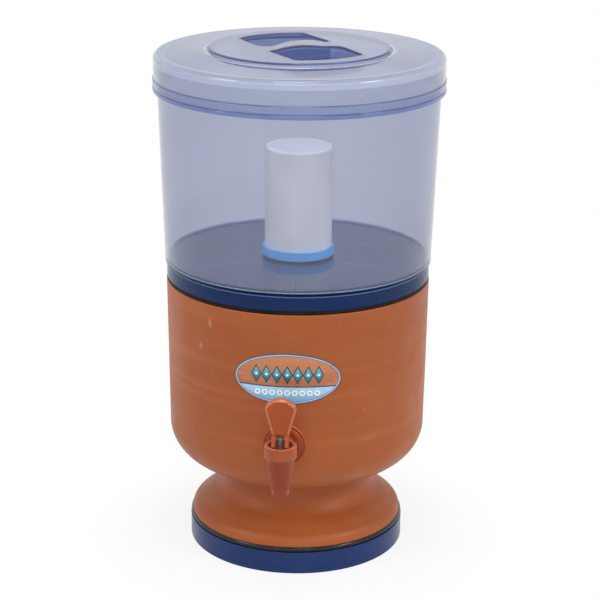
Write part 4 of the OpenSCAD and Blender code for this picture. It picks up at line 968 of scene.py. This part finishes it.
# the paddle from its hollow back to its front: (in from the outline, place through the thickness)
PADDLE = ((3.2, 0.5), (2.7, 0.62), (2.35, 1.0), (2.15, 2.4), (1.9, 2.85), (1.6, 3.0), (0.5, 3.0),
          (0.12, 2.85), (0.0, 2.4), (0.0, -0.3), (0.08, -0.75), (0.35, -1.15), (1.5, -2.6), (1.85, -2.92),
          (2.2, -3.0), (3.4, -2.9), (5.4, -2.75))
# one cheek: (place across, in from the outline)
CHEEK = ((3.9, 0.30), (4.0, 0.08), (4.25, 0), (6.75, 0), (6.95, 0.08), (7.0, 0.30))


def paddle(inset, y):
    """Outline of the paddle: the hull of four corner circles, with an arched end."""
    corner, sag = 6.5, 2.5
    arch_r = 2 * HALF_TOP * 0.8
    circles = []
    for side in (-1, 1):
        circles.append((side * (HALF_TOP - corner), LENGTH - corner - sag, corner - inset))
        circles.append((side * (HALF_FOOT - 1 - 0.7 * inset), FOOT + 1 + inset, 1.0))
    out = []
    for i in range(160):
        w = FULL * (i + 0.5) / 160
        dx, dz = math.cos(w), math.sin(w)
        best = max(circles, key=lambda c: c[0] * dx + c[1] * dz + c[2])
        x, z = best[0] + best[2] * dx, best[1] + best[2] * dz
        px, pz = (arch_r - inset) * dx, LENGTH - arch_r + (arch_r - inset) * dz
        if dz > 0 and abs(px) < HALF_TOP / 2 and px * dx + pz * dz > x * dx + z * dz:
            x, z = px, pz
        out.append((PIV.x + x, PIV.y + y, PIV.z + z))
    return out


def heel(a):
    """A point of the cam, which touches the stem's head at the tilt a (degrees)."""
    s, c, r = math.sin(math.radians(a)), math.cos(math.radians(a)), 4.2 + 0.04 * a
    return (-r * s - CAM * c, -r * c + CAM * s)


cheek_side = ([heel(i * SWING / 20) for i in range(21)]
              + [(-7.2, 1.6), (-5.4, 4.6), (-3.6, 7.2), (-3.0, 8.2), (-3, 9.6)]
              + [(3, 9.6), (3, -2.1), (2.7, -3.4), (1.9, -4.2)])
lever = Build().loft([paddle(*step) for step in PADDLE], True, True)
for steps in ([(-x, d) for x, d in reversed(CHEEK)], CHEEK):
    rows = [[(PIV.x + x, PIV.y + y, PIV.z + z) for y, z in inward(cheek_side, d)] for x, d in steps]
    lever.loft(rows, True, True)
lever.done("lever", "lever", MATS["lever_plastic"], ("tap_lever",), "lever_plastic", sharp=50)


# ------------------------------------------------------------------ floor, light and camera (metres)

def make_floor():
    """A floor that is seen as white, with a faint shade close to the pot, and lights things like a grey one."""
    mesh = bpy.data.meshes.new("floor")
    points = circle(6, 96)
    mesh.from_pydata([(x, y, -0.0003) for x, y in points], [], [tuple(range(len(points)))])
    o = bpy.data.objects.new("floor", mesh)
    SCENE.collection.objects.link(o)
    m = Mat("floor_white")
    flat = m.node("BsdfDiffuse", Color=(0.80, 0.80, 0.80, 1)).outputs[0]
    glow = m.node("Emission", Color=WHITE, Strength=1.0).outputs[0]
    far = m.fit(m.length(m.p), 0.10, 0.20, 0.86, 1.0)
    both = m.node("MixShader", i0=m.math("MULTIPLY", far, m.seen()), i1=flat, i2=glow).outputs[0]
    mesh.materials.append(m.end(both))


def make_world():
    """A white background that lights things less than it shows."""
    world = bpy.data.worlds.new("studio")
    SCENE.world = world
    world.use_nodes = True
    t = Nodes(world.node_tree)
    soft = t.node("Background", Color=WHITE, Strength=0.44).outputs[0]
    white = t.node("Background", Color=WHITE, Strength=1.0).outputs[0]
    t.node("OutputWorld", Surface=t.node("MixShader", i0=t.seen(), i1=soft, i2=white).outputs[0])


def lamp(name, place, target, size, watts, height=None):
    """A soft round lamp, or one of size by height."""
    light = bpy.data.lights.new(name, "AREA")
    light.shape = "RECTANGLE" if height else "DISK"
    light.size = size
    light.size_y = height or size
    light.energy = watts
    o = bpy.data.objects.new(name, light)
    SCENE.collection.objects.link(o)
    o.location = place
    o.rotation_euler = (Vector(target) - Vector(place)).to_track_quat("-Z", "Y").to_euler()


def make_camera():
    away, height = 1.579, 0.732
    tilt, roll = math.radians(18.10), math.radians(0.46)
    cam = bpy.data.cameras.new("camera")
    cam.lens = 114.8
    cam.sensor_width = 36
    cam.shift_x = 0.0038
    cam.clip_start = 0.01
    cam.clip_end = 50
    o = bpy.data.objects.new("camera", cam)
    SCENE.collection.objects.link(o)
    o.matrix_world = (Matrix.Translation((away * math.sin(TURN), -away * math.cos(TURN), height))
                      @ Matrix.Rotation(TURN, 4, "Z") @ Matrix.Rotation(math.radians(90) - tilt, 4, "X")
                      @ Matrix.Rotation(roll, 4, "Z"))
    SCENE.camera = o


make_floor()
make_world()
lamp("key", (1.6, -0.75, 1.35), (0, 0, 0.2), 0.6, 13)
lamp("fill", (-1.45, -0.95, 1.4), (0, 0, 0.2), 0.6, 9.5)
lamp("front", (2.3 * math.sin(TURN), -2.3 * math.cos(TURN), 1.2), (0, 0, 0.25), 2.0, 8, 0.7)
lamp("top", (0, -0.45, 1.9), (0, 0, 0.3), 0.7, 11)
make_camera()
SCENE.view_settings.view_transform = "Standard"
SCENE.cycles.max_bounces = 28
SCENE.cycles.transmission_bounces = 28
SCENE.cycles.transparent_max_bounces = 28
